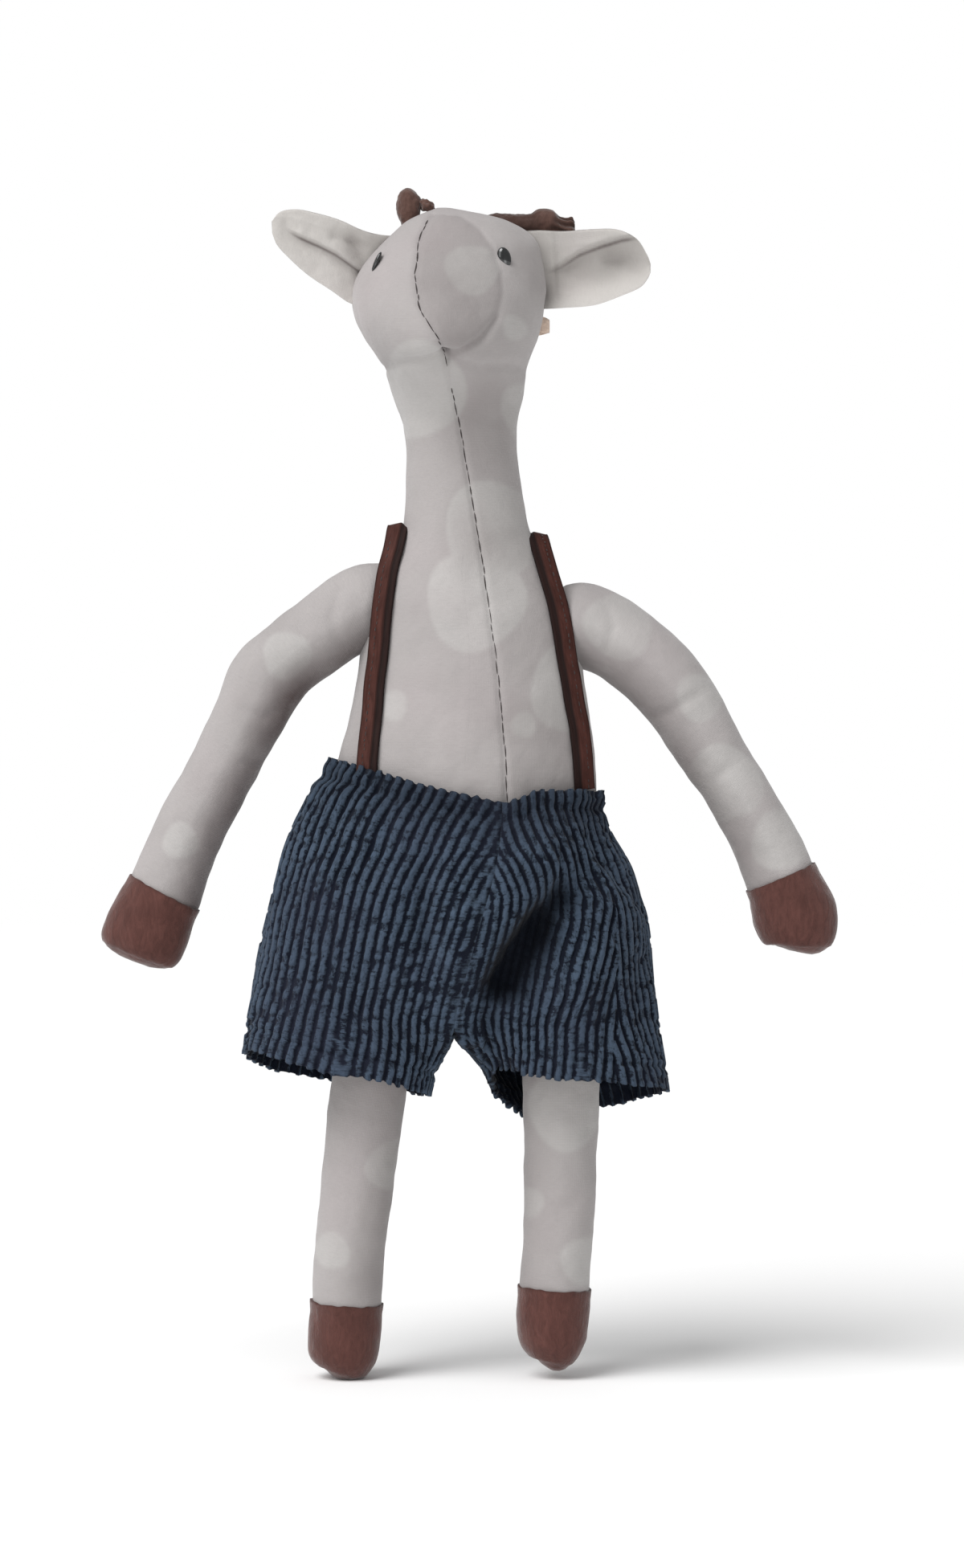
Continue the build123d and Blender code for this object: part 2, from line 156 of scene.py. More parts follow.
# The stitched left side of the face panel, and its plain right side.
FACE_LEFT = [(-13.6, 390.6), (-14.9, 388.4), (-17.6, 381.4), (-18.3, 371.3), (-18.9, 367.4), (-18.1, 362.7),
             (-17.2, 356.0), (-14.5, 350.3), (-9.6, 342.2), (-8.4, 338.4)]
FACE_RIGHT = [(-8.4, 338.4), (-3.0, 341.0), (3.6, 346.0), (8.2, 353.0), (10.0, 361.0), (9.6, 369.0),
              (7.0, 377.0), (2.4, 384.4), (-4.0, 389.6)]

# Pale round spots printed on the cloth: X, Z and radius, in millimetres, on the front.
BODY_SPOTS = [(7.5, 284.0, 17.0), (1.0, 260.5, 16.5), (34.0, 232.0, 15.0), (17.0, 219.6, 4.2),
              # the spot at X -17, Z 330 is print, and partly painted light that brightens the shaded
              # underside of the chin
              (-26.5, 226.0, 5.0), (19.0, 325.0, 9.5), (-17.0, 330.0, 14.5), (0.0, 369.5, 9.0),
              (14.0, 350.5, 4.0)]
LEFT_ARM_SPOTS = [(-97.5, 181.0, 6.0), (-62.0, 243.0, 8.0)]
RIGHT_ARM_SPOTS = [(49.0, 253.0, 11.5), (76.0, 229.0, 8.0), (84.0, 200.0, 13.0), (103.0, 181.0, 10.0)]
LEFT_LEG_SPOTS = [(-27.0, 72.0, 8.5), (-47.0, 44.0, 6.0)]
RIGHT_LEG_SPOTS = [(31.5, 91.0, 13.0), (37.5, 40.5, 8.0), (19.0, 60.0, 5.0)]
SPOT_EDGE = 1.4  # width of a spot's soft edge


# ---- sizes and colours that a maker would change -----------------------------------------------
def srgb(red, green, blue):
    """A colour from 0..255 display values to the linear values that materials take."""
    def linear(value):
        share = value / 255
        return share / 12.92 if share <= 0.04045 else ((share + 0.055) / 1.055) ** 2.4
    return (linear(red), linear(green), linear(blue))


def length_property(name, description, default_mm):
    """A length that a maker can change, given in millimetres and kept in metres."""
    return FloatProperty(name=name, description=description, default=default_mm * MM, min=0.0,
                         subtype="DISTANCE", unit="LENGTH", precision=5)


def colour_property(name, description, default):
    """A colour that a maker can change."""
    return FloatVectorProperty(name=name, description=description, default=default, size=3,
                               subtype="COLOR", min=0.0, max=1.0)


class GiraffeSizes(bpy.types.PropertyGroup):
    """Sizes of the sewing and the cloth."""

    seam_depth: length_property("Seam depth", "How far a sewn seam pulls into the stuffing", 0.7)
    seam_width: length_property("Seam width", "Half the width of the dip along a seam", 1.1)
    stitch: length_property("Stitch", "Length of one visible stitch of the dark thread", 2.6)
    rib_pitch: length_property("Corduroy rib", "Distance from one corduroy rib to the next", 4.0)
    rib_height: length_property("Rib height", "Height of a corduroy rib over its groove", 1.25)
    cord_cloth: length_property("Corduroy", "Thickness of the corduroy under its ribs", 1.1)
    strap_width: length_property("Strap width", "Width of the leather straps", 7.4)
    strap_thick: length_property("Strap thickness", "Thickness of the leather straps", 1.5)
    ear_thick: length_property("Ear thickness", "Thickness of an ear where it isn't padded", 2.0)
    around: IntProperty(name="Points round", description="Points round each stuffed part", default=160,
                        min=48, max=400)


class GiraffeColours(bpy.types.PropertyGroup):
    """Colours of the cloths, suedes and trims."""

    cotton: colour_property("Cotton", "Ground of the printed cotton", srgb(166, 161, 160))
    spots: colour_property("Spots", "Pale spots printed on the cotton", srgb(178, 175, 173))
    lining: colour_property("Ear lining", "Paler cotton of the ears", srgb(194, 190, 186))
    rib_top: colour_property("Rib tops", "Tops of the corduroy's ribs", srgb(57, 69, 84))
    # groove colour: partly the corduroy's dark ground and partly painted shade in the grooves; a darker copy
    # is the painted shadow in the deep fold
    groove_ground_and_shade: colour_property("Rib grooves", "Bottoms of the corduroy's grooves", srgb(9, 15, 28))
    hoof: colour_property("Hoof suede", "Red-brown suede of the hooves", srgb(96, 61, 55))
    horn: colour_property("Horn suede", "Brown suede of the horns", srgb(100, 74, 66))
    strap: colour_property("Strap leather", "Face of the leather straps", srgb(68, 37, 31))
    # dark cut edges of the straps, also used for the painted shade beside each strap's turned inner edge
    strap_edge_and_shade: colour_property("Strap edges", "Dark edges of the straps", srgb(28, 15, 13))
    thread: colour_property("Thread", "Dark sewing thread", srgb(40, 30, 28))
    tape: colour_property("Tape", "Beige tape of the hanging loop", srgb(206, 184, 168))


# ---- shapes -------------------------------------------------------------------------------------
def smooth_rows(rows, count):
    """A Catmull-Rom curve through the rows, at evenly spaced steps of its parameter."""
    rows = np.array(rows, float)
    last = len(rows) - 1
    padded = np.vstack([2 * rows[0] - rows[1], rows, 2 * rows[-1] - rows[-2]])
    where = np.linspace(0, last, count)
    part = np.minimum(where.astype(int), last - 1)
    t = (where - part)[:, None]
    a, b, c, d = (padded[part + i] for i in range(4))
    return 0.5 * (2 * b + (c - a) * t + (2 * a - 5 * b + 4 * c - d) * t**2 + (3 * b - a - 3 * c + d) * t**3)


def even_rows(rows, step):
    """The same curve, at even distances along its first three values' path."""
    dense = smooth_rows(rows, 40 * len(rows))
    run = np.linalg.norm(np.diff(dense[:, :3], axis=0), axis=1)
    along = np.concatenate([[0], np.cumsum(run)])
    count = max(4, int(along[-1] / step) + 1)
    places = np.linspace(0, along[-1], count)
    return np.column_stack([np.interp(places, along, column) for column in dense.T]), places


def noise_at(points, size, seed=0.0):
    """Smooth noise from -1 to 1 at points in millimetres, with lumps of the given size."""
    shift = Vector((seed * 13.7, seed * 7.3, seed * 3.1))
    flat = points.reshape(-1, 3) / size
    values = np.array([noise(Vector(point) + shift) for point in flat])
    return values.reshape(points.shape[:-1])


def outward_normals(grid):
    """Normals out of a grid whose columns run round the piece, and -1 if its faces point inward."""
    round_way = np.roll(grid, -1, axis=1) - np.roll(grid, 1, axis=1)
    normals = np.cross(round_way, np.gradient(grid, axis=0))
    normals /= np.maximum(np.linalg.norm(normals, axis=-1, keepdims=True), 1e-9)
    from_middle = grid - grid.mean(axis=1, keepdims=True)
    way = np.sign((from_middle * normals).sum(axis=-1).mean())
    return normals * way, way


def line_distance(points, line):
    """Distance from each point to a polyline, both flat, and the share of the line's length there."""
    line = np.array(line, float)
    runs = np.linalg.norm(np.diff(line, axis=0), axis=1)
    total = runs.sum()
    best = np.full(points.shape[:-1], 1e9)
    share = np.zeros(points.shape[:-1])
    done = 0.0
    for start, end, run in zip(line[:-1], line[1:], runs):
        way = end - start
        t = np.clip(((points - start) @ way) / (way @ way), 0, 1)
        gap = np.linalg.norm(points - (start + t[..., None] * way), axis=-1)
        nearer = gap < best
        best = np.where(nearer, gap, best)
        share = np.where(nearer, (done + t * run) / total, share)
        done += run
    return best, share


def mesh_object(name, points, faces, uvs=None, values=None):
    """A mesh in metres from points in millimetres, with its rest places and other values kept."""
    mesh = bpy.data.meshes.new(name)
    mesh.from_pydata((points * MM).tolist(), [], faces)
    mesh.validate()
    rest = mesh.attributes.new("rest", "FLOAT_VECTOR", "POINT")
    rest.data.foreach_set("vector", (points * MM).astype(np.float32).ravel())
    for key, value in (values or {}).items():
        layer = mesh.attributes.new(key, "FLOAT", "POINT")
        layer.data.foreach_set("value", np.asarray(value, np.float32).ravel())
    if uvs is not None:
        layer = mesh.uv_layers.new(name="cloth")
        corner = np.zeros(len(mesh.loops), int)
        mesh.loops.foreach_get("vertex_index", corner)
        layer.data.foreach_set("uv", uvs[corner].astype(np.float32).ravel())
    mesh.polygons.foreach_set("use_smooth", [True] * len(mesh.polygons))
    mesh.update()
    obj = bpy.data.objects.new(name, mesh)
    bpy.context.scene.collection.objects.link(obj)
    return obj


def grid_faces(rows, columns):
    """Quads of a grid whose columns run round the piece."""
    faces = []
    for i in range(rows - 1):
        for j in range(columns):
            k = (j + 1) % columns
            faces.append((i * columns + j, i * columns + k, (i + 1) * columns + k, (i + 1) * columns + j))
    return faces


def tube_object(name, grid, values):
    """A tube from a grid of rings, closed at both ends by a fan of faces."""
    rows, columns, _ = grid.shape
    points = grid.reshape(-1, 3)
    faces = grid_faces(rows, columns)
    middle = np.array([grid[0].mean(axis=0), grid[-1].mean(axis=0)])
    first = len(points)
    points = np.vstack([points, middle])
    faces += [(first, (j + 1) % columns, j) for j in range(columns)]
    top = (rows - 1) * columns
    faces += [(first + 1, top + j, top + (j + 1) % columns) for j in range(columns)]
    values = {key: np.concatenate([value.ravel(), [value[0, 0], value[-1, 0]]])
              for key, value in values.items()}
    ring = np.linalg.norm(np.roll(grid, -1, axis=1) - grid, axis=-1)
    girth = ring.sum(axis=1).max()
    along = np.concatenate([[0], np.cumsum(np.linalg.norm(np.diff(grid[:, 0], axis=0), axis=-1))])
    u = np.linspace(0, girth, columns, endpoint=False)
    uvs = np.stack(np.meshgrid(u, along), axis=-1).reshape(-1, 2) * MM
    uvs = np.vstack([uvs, [[0, 0], [0, along[-1] * MM]]])
    return mesh_object(name, points, faces, uvs, values)


def limb_grid(places, step, around):
    """Rings square to a limb's path, and the distance along it. The path's last ring is its end."""
    rows, along = even_rows(places, step)
    path = rows[:, :3].copy()
    path[:, 1] += MID_Y
    way = np.gradient(path, axis=0)
    way /= np.linalg.norm(way, axis=1, keepdims=True)
    depth = np.array([0.0, 1.0, 0.0])
    across = np.cross(way, depth)
    across /= np.linalg.norm(across, axis=1, keepdims=True)
    deep = np.cross(across, way)
    turn = np.linspace(0, 2 * math.pi, around, endpoint=False)
    grid = (path[:, None] + across[:, None] * (rows[:, 3, None] * np.cos(turn))[..., None]
            + deep[:, None] * (rows[:, 4, None] * np.sin(turn))[..., None])
    return grid, along, turn


def spot_values(points, spots):
    """How far each front point lies inside the printed spots, from 0 to 1 with a soft edge."""
    value = np.zeros(points.shape[:-1])
    facing = points[..., 1] < MID_Y
    for x, z, radius in spots:
        wobble = 0.06 * radius * np.sin(3 * np.arctan2(points[..., 2] - z, points[..., 0] - x) + x)
        gap = np.hypot(points[..., 0] - x, points[..., 2] - z) - wobble
        value = np.maximum(value, np.where(facing, np.clip((radius - gap) / SPOT_EDGE + 0.5, 0, 1), 0))
    return value


def inside_outline(points, outline, soft):
    """How far each point lies inside a closed outline of X and Z, from 0 to 1 with a soft edge."""
    x, z = points[..., 0], points[..., 2]
    inside = np.zeros(x.shape, bool)
    for (x0, z0), (x1, z1) in zip(outline, outline[1:] + outline[:1]):
        if z0 == z1:
            continue
        inside ^= ((z0 > z) != (z1 > z)) & (x < (x1 - x0) * (z - z0) / (z1 - z0) + x0)
    gap, _ = line_distance(points[..., [0, 2]], outline)
    return np.clip(0.5 + np.where(inside, gap, -gap) / soft, 0, 1)


def back_spots(points, pitch, seed):
    """Spots scattered over the sides and the back, from 0 to 1 with a soft edge."""
    value = np.zeros(points.shape[:-1])
    rng = np.random.default_rng(seed)
    low = points.reshape(-1, 3).min(axis=0)
    high = points.reshape(-1, 3).max(axis=0)
    for x in np.arange(low[0], high[0], pitch):
        for z in np.arange(low[2], high[2], pitch):
            px, pz = (x, z) + rng.uniform(-0.3, 0.3, 2) * pitch
            radius = rng.uniform(0.12, 0.36) * pitch
            gap = np.hypot(points[..., 0] - px, points[..., 2] - pz)
            value = np.maximum(value, np.clip((radius - gap) / SPOT_EDGE + 0.5, 0, 1))
    return np.where(points[..., 1] > MID_Y + 4, value, 0)


# ---- materials ----------------------------------------------------------------------------------
class Nodes:
    """A short way to write one material's nodes."""

    def __init__(self, name):
        self.material = bpy.data.materials.new(name)
        self.material.use_nodes = True
        self.tree = self.material.node_tree
        self.shader = self.tree.nodes["Principled BSDF"]

    def add(self, kind, inputs=None, **settings):
        """A new node with its settings and inputs."""
        node = self.tree.nodes.new(kind)
        for key, value in settings.items():
            setattr(node, key, value)
        for key, value in (inputs or {}).items():
            self.put(value, node.inputs[key])
        return node

    def put(self, value, socket):
        """Link another node's output to a socket, or set the socket's own value."""
        if isinstance(value, bpy.types.NodeSocket):
            self.tree.links.new(value, socket)
        elif socket.type == "RGBA":
            socket.default_value = (*value[:3], 1.0)
        else:
            socket.default_value = value

    def attribute(self, name):
        """A value that the mesh carries."""
        return self.add("ShaderNodeAttribute", attribute_name=name)

    def rest(self, stretch=(1, 1, 1)):
        """The places of the cloth before it moves, stretched along the axes."""
        places = self.attribute("rest").outputs["Vector"]
        return self.add("ShaderNodeVectorMath", {0: places, 1: stretch}, operation="MULTIPLY").outputs[0]

    def uv(self, stretch=(1, 1, 1)):
        """The places on the cloth as it was cut, in metres across and along, stretched."""
        places = self.add("ShaderNodeUVMap", uv_map="cloth").outputs["UV"]
        return self.add("ShaderNodeVectorMath", {0: places, 1: stretch}, operation="MULTIPLY").outputs[0]

    def noise(self, places, scale, detail=2.0, rough=0.5, distortion=0.0):
        """Cloudy noise from 0 to 1."""
        node = self.add("ShaderNodeTexNoise", {"Vector": places, "Scale": scale, "Detail": detail,
                                               "Roughness": rough, "Distortion": distortion})
        return node.outputs["Fac"]

    def math(self, operation, a, b=0.0, clamp=False):
        """Two values put together."""
        node = self.add("ShaderNodeMath", {0: a, 1: b}, operation=operation, use_clamp=clamp)
        return node.outputs[0]

    def spread(self, value, low, high, new_low=0.0, new_high=1.0):
        """A value moved from one range to another and held inside it."""
        node = self.add("ShaderNodeMapRange", {"Value": value, "From Min": low, "From Max": high,
                                               "To Min": new_low, "To Max": new_high})
        return node.outputs["Result"]

    def mix(self, share, a, b):
        """A share of the second colour laid over the first."""
        node = self.add("ShaderNodeMix", data_type="RGBA")
        self.put(share, node.inputs[0])
        self.put(a, node.inputs[6])
        self.put(b, node.inputs[7])
        return node.outputs[2]

    def bump(self, height, strength, distance, normal=None):
        """A relief from a height, over another relief if one is given."""
        node = self.add("ShaderNodeBump", {"Height": height, "Strength": strength, "Distance": distance})
        if normal is not None:
            self.put(normal, node.inputs["Normal"])
        return node.outputs["Normal"]

    def finish(self, colour, roughness, normal=None, **fixed):
        """Join the results to the shader, set its fixed values and give the material."""
        self.put(colour, self.shader.inputs["Base Color"])
        self.put(roughness, self.shader.inputs["Roughness"])
        if normal is not None:
            self.put(normal, self.shader.inputs["Normal"])
        for key, value in fixed.items():
            self.shader.inputs[key.replace("_", " ")].default_value = value
        return self.material


def scaled(colour, factor):
    """A colour made lighter or darker."""
    return tuple(min(1.0, value * factor) for value in colour)


def weave_height(nodes, places, pitch):
    """Over-and-under threads of a plain weave."""
    first = nodes.add("ShaderNodeTexWave", {"Vector": places, "Scale": 1 / pitch / 20 * 6.2832},
                      wave_type="BANDS", bands_direction="X", wave_profile="SIN").outputs["Fac"]
    second = nodes.add("ShaderNodeTexWave", {"Vector": places, "Scale": 1 / pitch / 20 * 6.2832},
                       wave_type="BANDS", bands_direction="Y", wave_profile="SIN").outputs["Fac"]
    return nodes.math("MULTIPLY", first, second)


def cotton(name, ground, spots):
    """Plain-weave cotton with printed pale spots, slightly slubbed, and darkened toward brown-grey by
    painted shade and random mottling.
    """
    nodes = Nodes(name)
    printed = nodes.attribute("spot").outputs["Fac"]
    colour = nodes.mix(printed, ground, spots)
    cloudy = nodes.noise(nodes.rest(), 38.0, 3.0, 0.55)
    colour = nodes.mix(nodes.spread(cloudy, 0.35, 0.7, 0.0, 0.30), colour, scaled(ground, 0.78))
    warm = nodes.noise(nodes.rest(), 21.0, 2.0, 0.5)
    colour = nodes.mix(nodes.spread(warm, 0.5, 0.75, 0.0, 0.30), colour, srgb(170, 158, 160))
    # painted shade: the mesh's shade values, with some random mottling in them, darken the cloth toward
    # brown-grey
    shade_and_mottle = nodes.attribute("shade").outputs["Fac"]
    shade_unevenness = nodes.noise(nodes.rest(), 75.0, 3.0, 0.55, 0.3)
    shade_and_mottle = nodes.math("MULTIPLY", shade_and_mottle, nodes.spread(shade_unevenness, 0.3, 0.7, 0.80, 1.08), True)
    colour = nodes.mix(shade_and_mottle, colour, srgb(80, 67, 66))
    slub = nodes.noise(nodes.uv((0.25, 1.0, 1.0)), 1500.0, 2.0, 0.6)
    colour = nodes.mix(nodes.spread(slub, 0.4, 0.7, 0.0, 0.10), colour, scaled(ground, 0.6))
    weave = weave_height(nodes, nodes.uv(), 0.00055)
    fine = nodes.noise(nodes.uv(), 2600.0, 2.0, 0.6)
    height = nodes.math("ADD", weave, nodes.math("MULTIPLY", fine, 0.6))
    soft = nodes.noise(nodes.rest(), 260.0, 3.0, 0.55)
    normal = nodes.bump(soft, 0.35, 0.0009)
    normal = nodes.bump(height, 0.35, 0.00012, normal)
    return nodes.finish(colour, nodes.spread(fine, 0.2, 0.8, 0.82, 0.96), normal,
                        Sheen_Weight=0.25, Sheen_Roughness=0.5, Specular_IOR_Level=0.25)


def corduroy(colours):
    """Wide-wale corduroy: crushed pile on the ribs, a dark ground in the grooves deepened by painted shade,
    a painted highlight on the rib crests, and painted shade in the deep fold and along the waist.
    """
    nodes = Nodes("ribbed_corduroy")
    rib = nodes.attribute("rib").outputs["Fac"]
    flat = nodes.attribute("crushed").outputs["Fac"]
    worn = nodes.attribute("worn").outputs["Fac"]
    crushed = nodes.noise(nodes.uv((1.0, 0.6, 1.0)), 520.0, 4.0, 0.65, 0.6)
    cuts = nodes.noise(nodes.uv((0.35, 1.0, 1.0)), 780.0, 3.0, 0.6, 0.4)
    patch = nodes.noise(nodes.rest(), 60.0, 3.0, 0.6)
    level = nodes.math("ADD", rib, nodes.spread(crushed, 0.25, 0.75, -0.34, 0.24))
    level = nodes.math("SUBTRACT", level, nodes.spread(cuts, 0.54, 0.66, 0.0, 0.42))
    grain = nodes.noise(nodes.uv((1.0, 0.7, 1.0)), 900.0, 3.0, 0.7)
    level = nodes.math("ADD", level, nodes.spread(grain, 0.35, 0.65, -0.26, 0.24))
    level = nodes.math("SUBTRACT", level, nodes.math("MULTIPLY", flat, 0.42))
    level = nodes.math("ADD", level, nodes.spread(worn, 0.3, 0.9, -0.08, 0.10))
    level = nodes.math("ADD", level, nodes.spread(patch, 0.3, 0.7, -0.14, 0.12), True)
    # the ramp from groove to crest is partly the cloth's colour and partly painted light: painted shade in
    # the grooves, a painted highlight on the crests
    ramp = nodes.add("ShaderNodeValToRGB", {"Fac": level})
    stops = ramp.color_ramp.elements
    stops[0].position = 0.22
    stops[0].color = (*colours.groove_ground_and_shade, 1)
    stops[1].position = 0.72
    stops[1].color = (*colours.rib_top, 1)
    crest_highlight = stops.new(1.0)
    crest_highlight.color = (*scaled(colours.rib_top, 1.35), 1)
    middle = stops.new(0.46)
    middle.color = (*scaled(colours.rib_top, 0.45), 1)
    faded = nodes.noise(nodes.rest(), 26.0, 2.0, 0.5)
    colour = nodes.mix(nodes.spread(faded, 0.45, 0.75, 0.0, 0.35), ramp.outputs["Color"], srgb(44, 46, 62))
    # painted shadow in the deep fold, and painted shade along the gathered waist and over the right half
    dark = nodes.attribute("shade").outputs["Fac"]
    colour = nodes.mix(dark, colour, scaled(colours.groove_ground_and_shade, 0.55))
    pile = nodes.noise(nodes.uv((1.0, 0.3, 1.0)), 2400.0, 3.0, 0.7)
    normal = nodes.bump(crushed, 0.8, 0.0007)
    normal = nodes.bump(pile, 0.7, 0.00025, normal)
    return nodes.finish(colour, nodes.spread(crushed, 0.3, 0.7, 0.95, 0.8), normal,
                        Sheen_Weight=0.06, Sheen_Roughness=0.4, Specular_IOR_Level=0.15)


def suede(name, base):
    """Brushed suede: nap strokes of two tones, a dusty bloom, darker rubbed patches, and painted shade from
    the mesh's shade values.
    """
    nodes = Nodes(name)
    strokes = nodes.noise(nodes.rest((1.0, 1.0, 0.35)), 520.0, 4.0, 0.65, 0.8)
    cloud = nodes.noise(nodes.rest(), 110.0, 3.0, 0.6)
    colour = nodes.mix(nodes.spread(strokes, 0.3, 0.7, 0.0, 0.7), scaled(base, 0.62), scaled(base, 1.22))
    colour = nodes.mix(nodes.spread(cloud, 0.45, 0.75, 0.0, 0.55), colour, scaled(base, 0.55))
    # painted shade from the mesh's shade values: in the hooves' side seams and along their lips, and in the
    # horns' gathers and pleats; also the right horn's darker stalk
    edge = nodes.attribute("shade").outputs["Fac"]
    colour = nodes.mix(edge, colour, scaled(base, 0.40))
    nap = nodes.noise(nodes.rest(), 2600.0, 3.0, 0.7)
    normal = nodes.bump(strokes, 0.5, 0.0006)
    normal = nodes.bump(nap, 0.6, 0.0002, normal)
    return nodes.finish(colour, nodes.spread(strokes, 0.3, 0.7, 0.96, 0.84), normal,
                        Sheen_Weight=0.5, Sheen_Roughness=0.4, Specular_IOR_Level=0.2)


def strap_leather(colours):
    """Brown leather with pores along its length, worn on the face, dark at the cut edges, and with painted
    shade beside the turned inner edge.
    """
    nodes = Nodes("stitched_strap_leather")
    edge = nodes.attribute("edge").outputs["Fac"]
    streak = nodes.noise(nodes.uv((1.0, 0.10, 1.0)), 1300.0, 4.0, 0.6, 0.3)
    worn = nodes.noise(nodes.rest(), 90.0, 3.0, 0.6)
    dull, bright = scaled(colours.strap, 0.66), scaled(colours.strap, 1.3)
    colour = nodes.mix(nodes.spread(streak, 0.3, 0.7), dull, bright)
    colour = nodes.mix(nodes.spread(worn, 0.5, 0.75, 0.0, 0.5), colour, scaled(colours.strap, 0.5))
    # the mesh's edge values darken the leather: dark cut edges, and painted shade beside the turned inner
    # edge
    colour = nodes.mix(edge, colour, colours.strap_edge_and_shade)
    pores = nodes.add("ShaderNodeTexVoronoi", {"Vector": nodes.uv((1.0, 0.6, 1.0)), "Scale": 1500.0},
                      feature="DISTANCE_TO_EDGE").outputs["Distance"]
    normal = nodes.bump(streak, 0.5, 0.0004)
    normal = nodes.bump(pores, 0.4, 0.00015, normal)
    return nodes.finish(colour, nodes.spread(streak, 0.3, 0.7, 0.85, 0.65), normal, Specular_IOR_Level=0.18)


def thread_material(colours):
    """Dark twisted sewing thread."""
    nodes = Nodes("sewing_thread")
    twist = nodes.noise(nodes.rest(), 3000.0, 2.0, 0.5)
    dull, bright = scaled(colours.thread, 0.6), scaled(colours.thread, 1.6)
    colour = nodes.mix(nodes.spread(twist, 0.3, 0.7), dull, bright)
    return nodes.finish(colour, 0.8, nodes.bump(twist, 0.5, 0.0001), Sheen_Weight=0.2)


def bead_material():
    """Black glossy plastic with a faint haze."""
    nodes = Nodes("black_bead")
    haze = nodes.noise(nodes.rest(), 900.0, 2.0, 0.5)
    colour = nodes.mix(nodes.spread(haze, 0.3, 0.7), srgb(6, 7, 8), srgb(22, 24, 26))
    return nodes.finish(colour, nodes.spread(haze, 0.3, 0.7, 0.12, 0.22), None,
                        Specular_IOR_Level=0.6, Coat_Weight=0.6, Coat_Roughness=0.08)


def tape_material(colours):
    """Beige woven cotton tape."""
    nodes = Nodes("folded_loop_tape")
    weave = weave_height(nodes, nodes.rest((1, 1, 1)), 0.0008)
    fade = nodes.noise(nodes.rest(), 500.0, 3.0, 0.6)
    colour = nodes.mix(nodes.spread(fade, 0.3, 0.7), scaled(colours.tape, 0.75), scaled(colours.tape, 1.2))
    return nodes.finish(colour, 0.9, nodes.bump(weave, 0.5, 0.0002), Sheen_Weight=0.2)


def material_of(name, make, *args):
    """The named material, made the first time it is asked for."""
    return bpy.data.materials.get(name) or make(*args)


def cotton_material(context):
    """The spotted cotton of the body, head and limbs."""
    colours = context.scene.giraffe_colours
    ground, spots = tuple(colours.cotton), tuple(colours.spots)
    return material_of("printed_cotton", cotton, "printed_cotton", ground, spots)


def lining_material(context):
    """The paler cotton of the ears."""
    colours = context.scene.giraffe_colours
    lining = tuple(colours.lining)
    return material_of("ear_cotton", cotton, "ear_cotton", lining, scaled(lining, 1.08))


def dress(obj, material):
    """Give a piece its material."""
    obj.data.materials.clear()
    obj.data.materials.append(material)


# ---- the body's skin ----------------------------------------------------------------------------
def body_grid(around):
    """The printed cover of the body, neck and head as rings of points, before its seams are sewn."""
    rings, _ = even_rows([(row[0], row[4], 0.0) + row for row in SKIN_RINGS], 1.15)
    z_front, z_back, mid_x, wide, front, back, drift = rings[:, 3:].T
    turn = np.linspace(0, 2 * math.pi, around, endpoint=False)
    ahead = np.cos(turn)
    forward = np.clip(ahead, 0, 1)
    sharp = 1 + 0.35 * np.clip((front - 24) / 20, 0, 1)
    side = np.sign(np.sin(turn)) * np.abs(np.sin(turn)) ** sharp[:, None]
    x = mid_x[:, None] + wide[:, None] * side + drift[:, None] * forward**2
    y = MID_Y - np.where(ahead > 0, front[:, None] * ahead, back[:, None] * ahead)
    middle = (z_front + z_back)[:, None] / 2
    z = middle + (z_front - z_back)[:, None] / 2 * ahead
    return np.stack([x, y, z], axis=-1)


def sew(grid, normals, line, depth, width, front=True):
    """Pull a seam's line into the stuffing."""
    flat = grid[..., [0, 2]]
    gap, _ = line_distance(flat, line)
    dip = np.exp(-((gap / width) ** 2))
    wide_dip = 0.14 * np.exp(-((gap / (4 * width)) ** 2))
    facing = normals[..., 1] < 0.15 if front else normals[..., 1] > 0.15
    return grid - normals * (np.where(facing, dip + wide_dip, 0) * depth)[..., None]


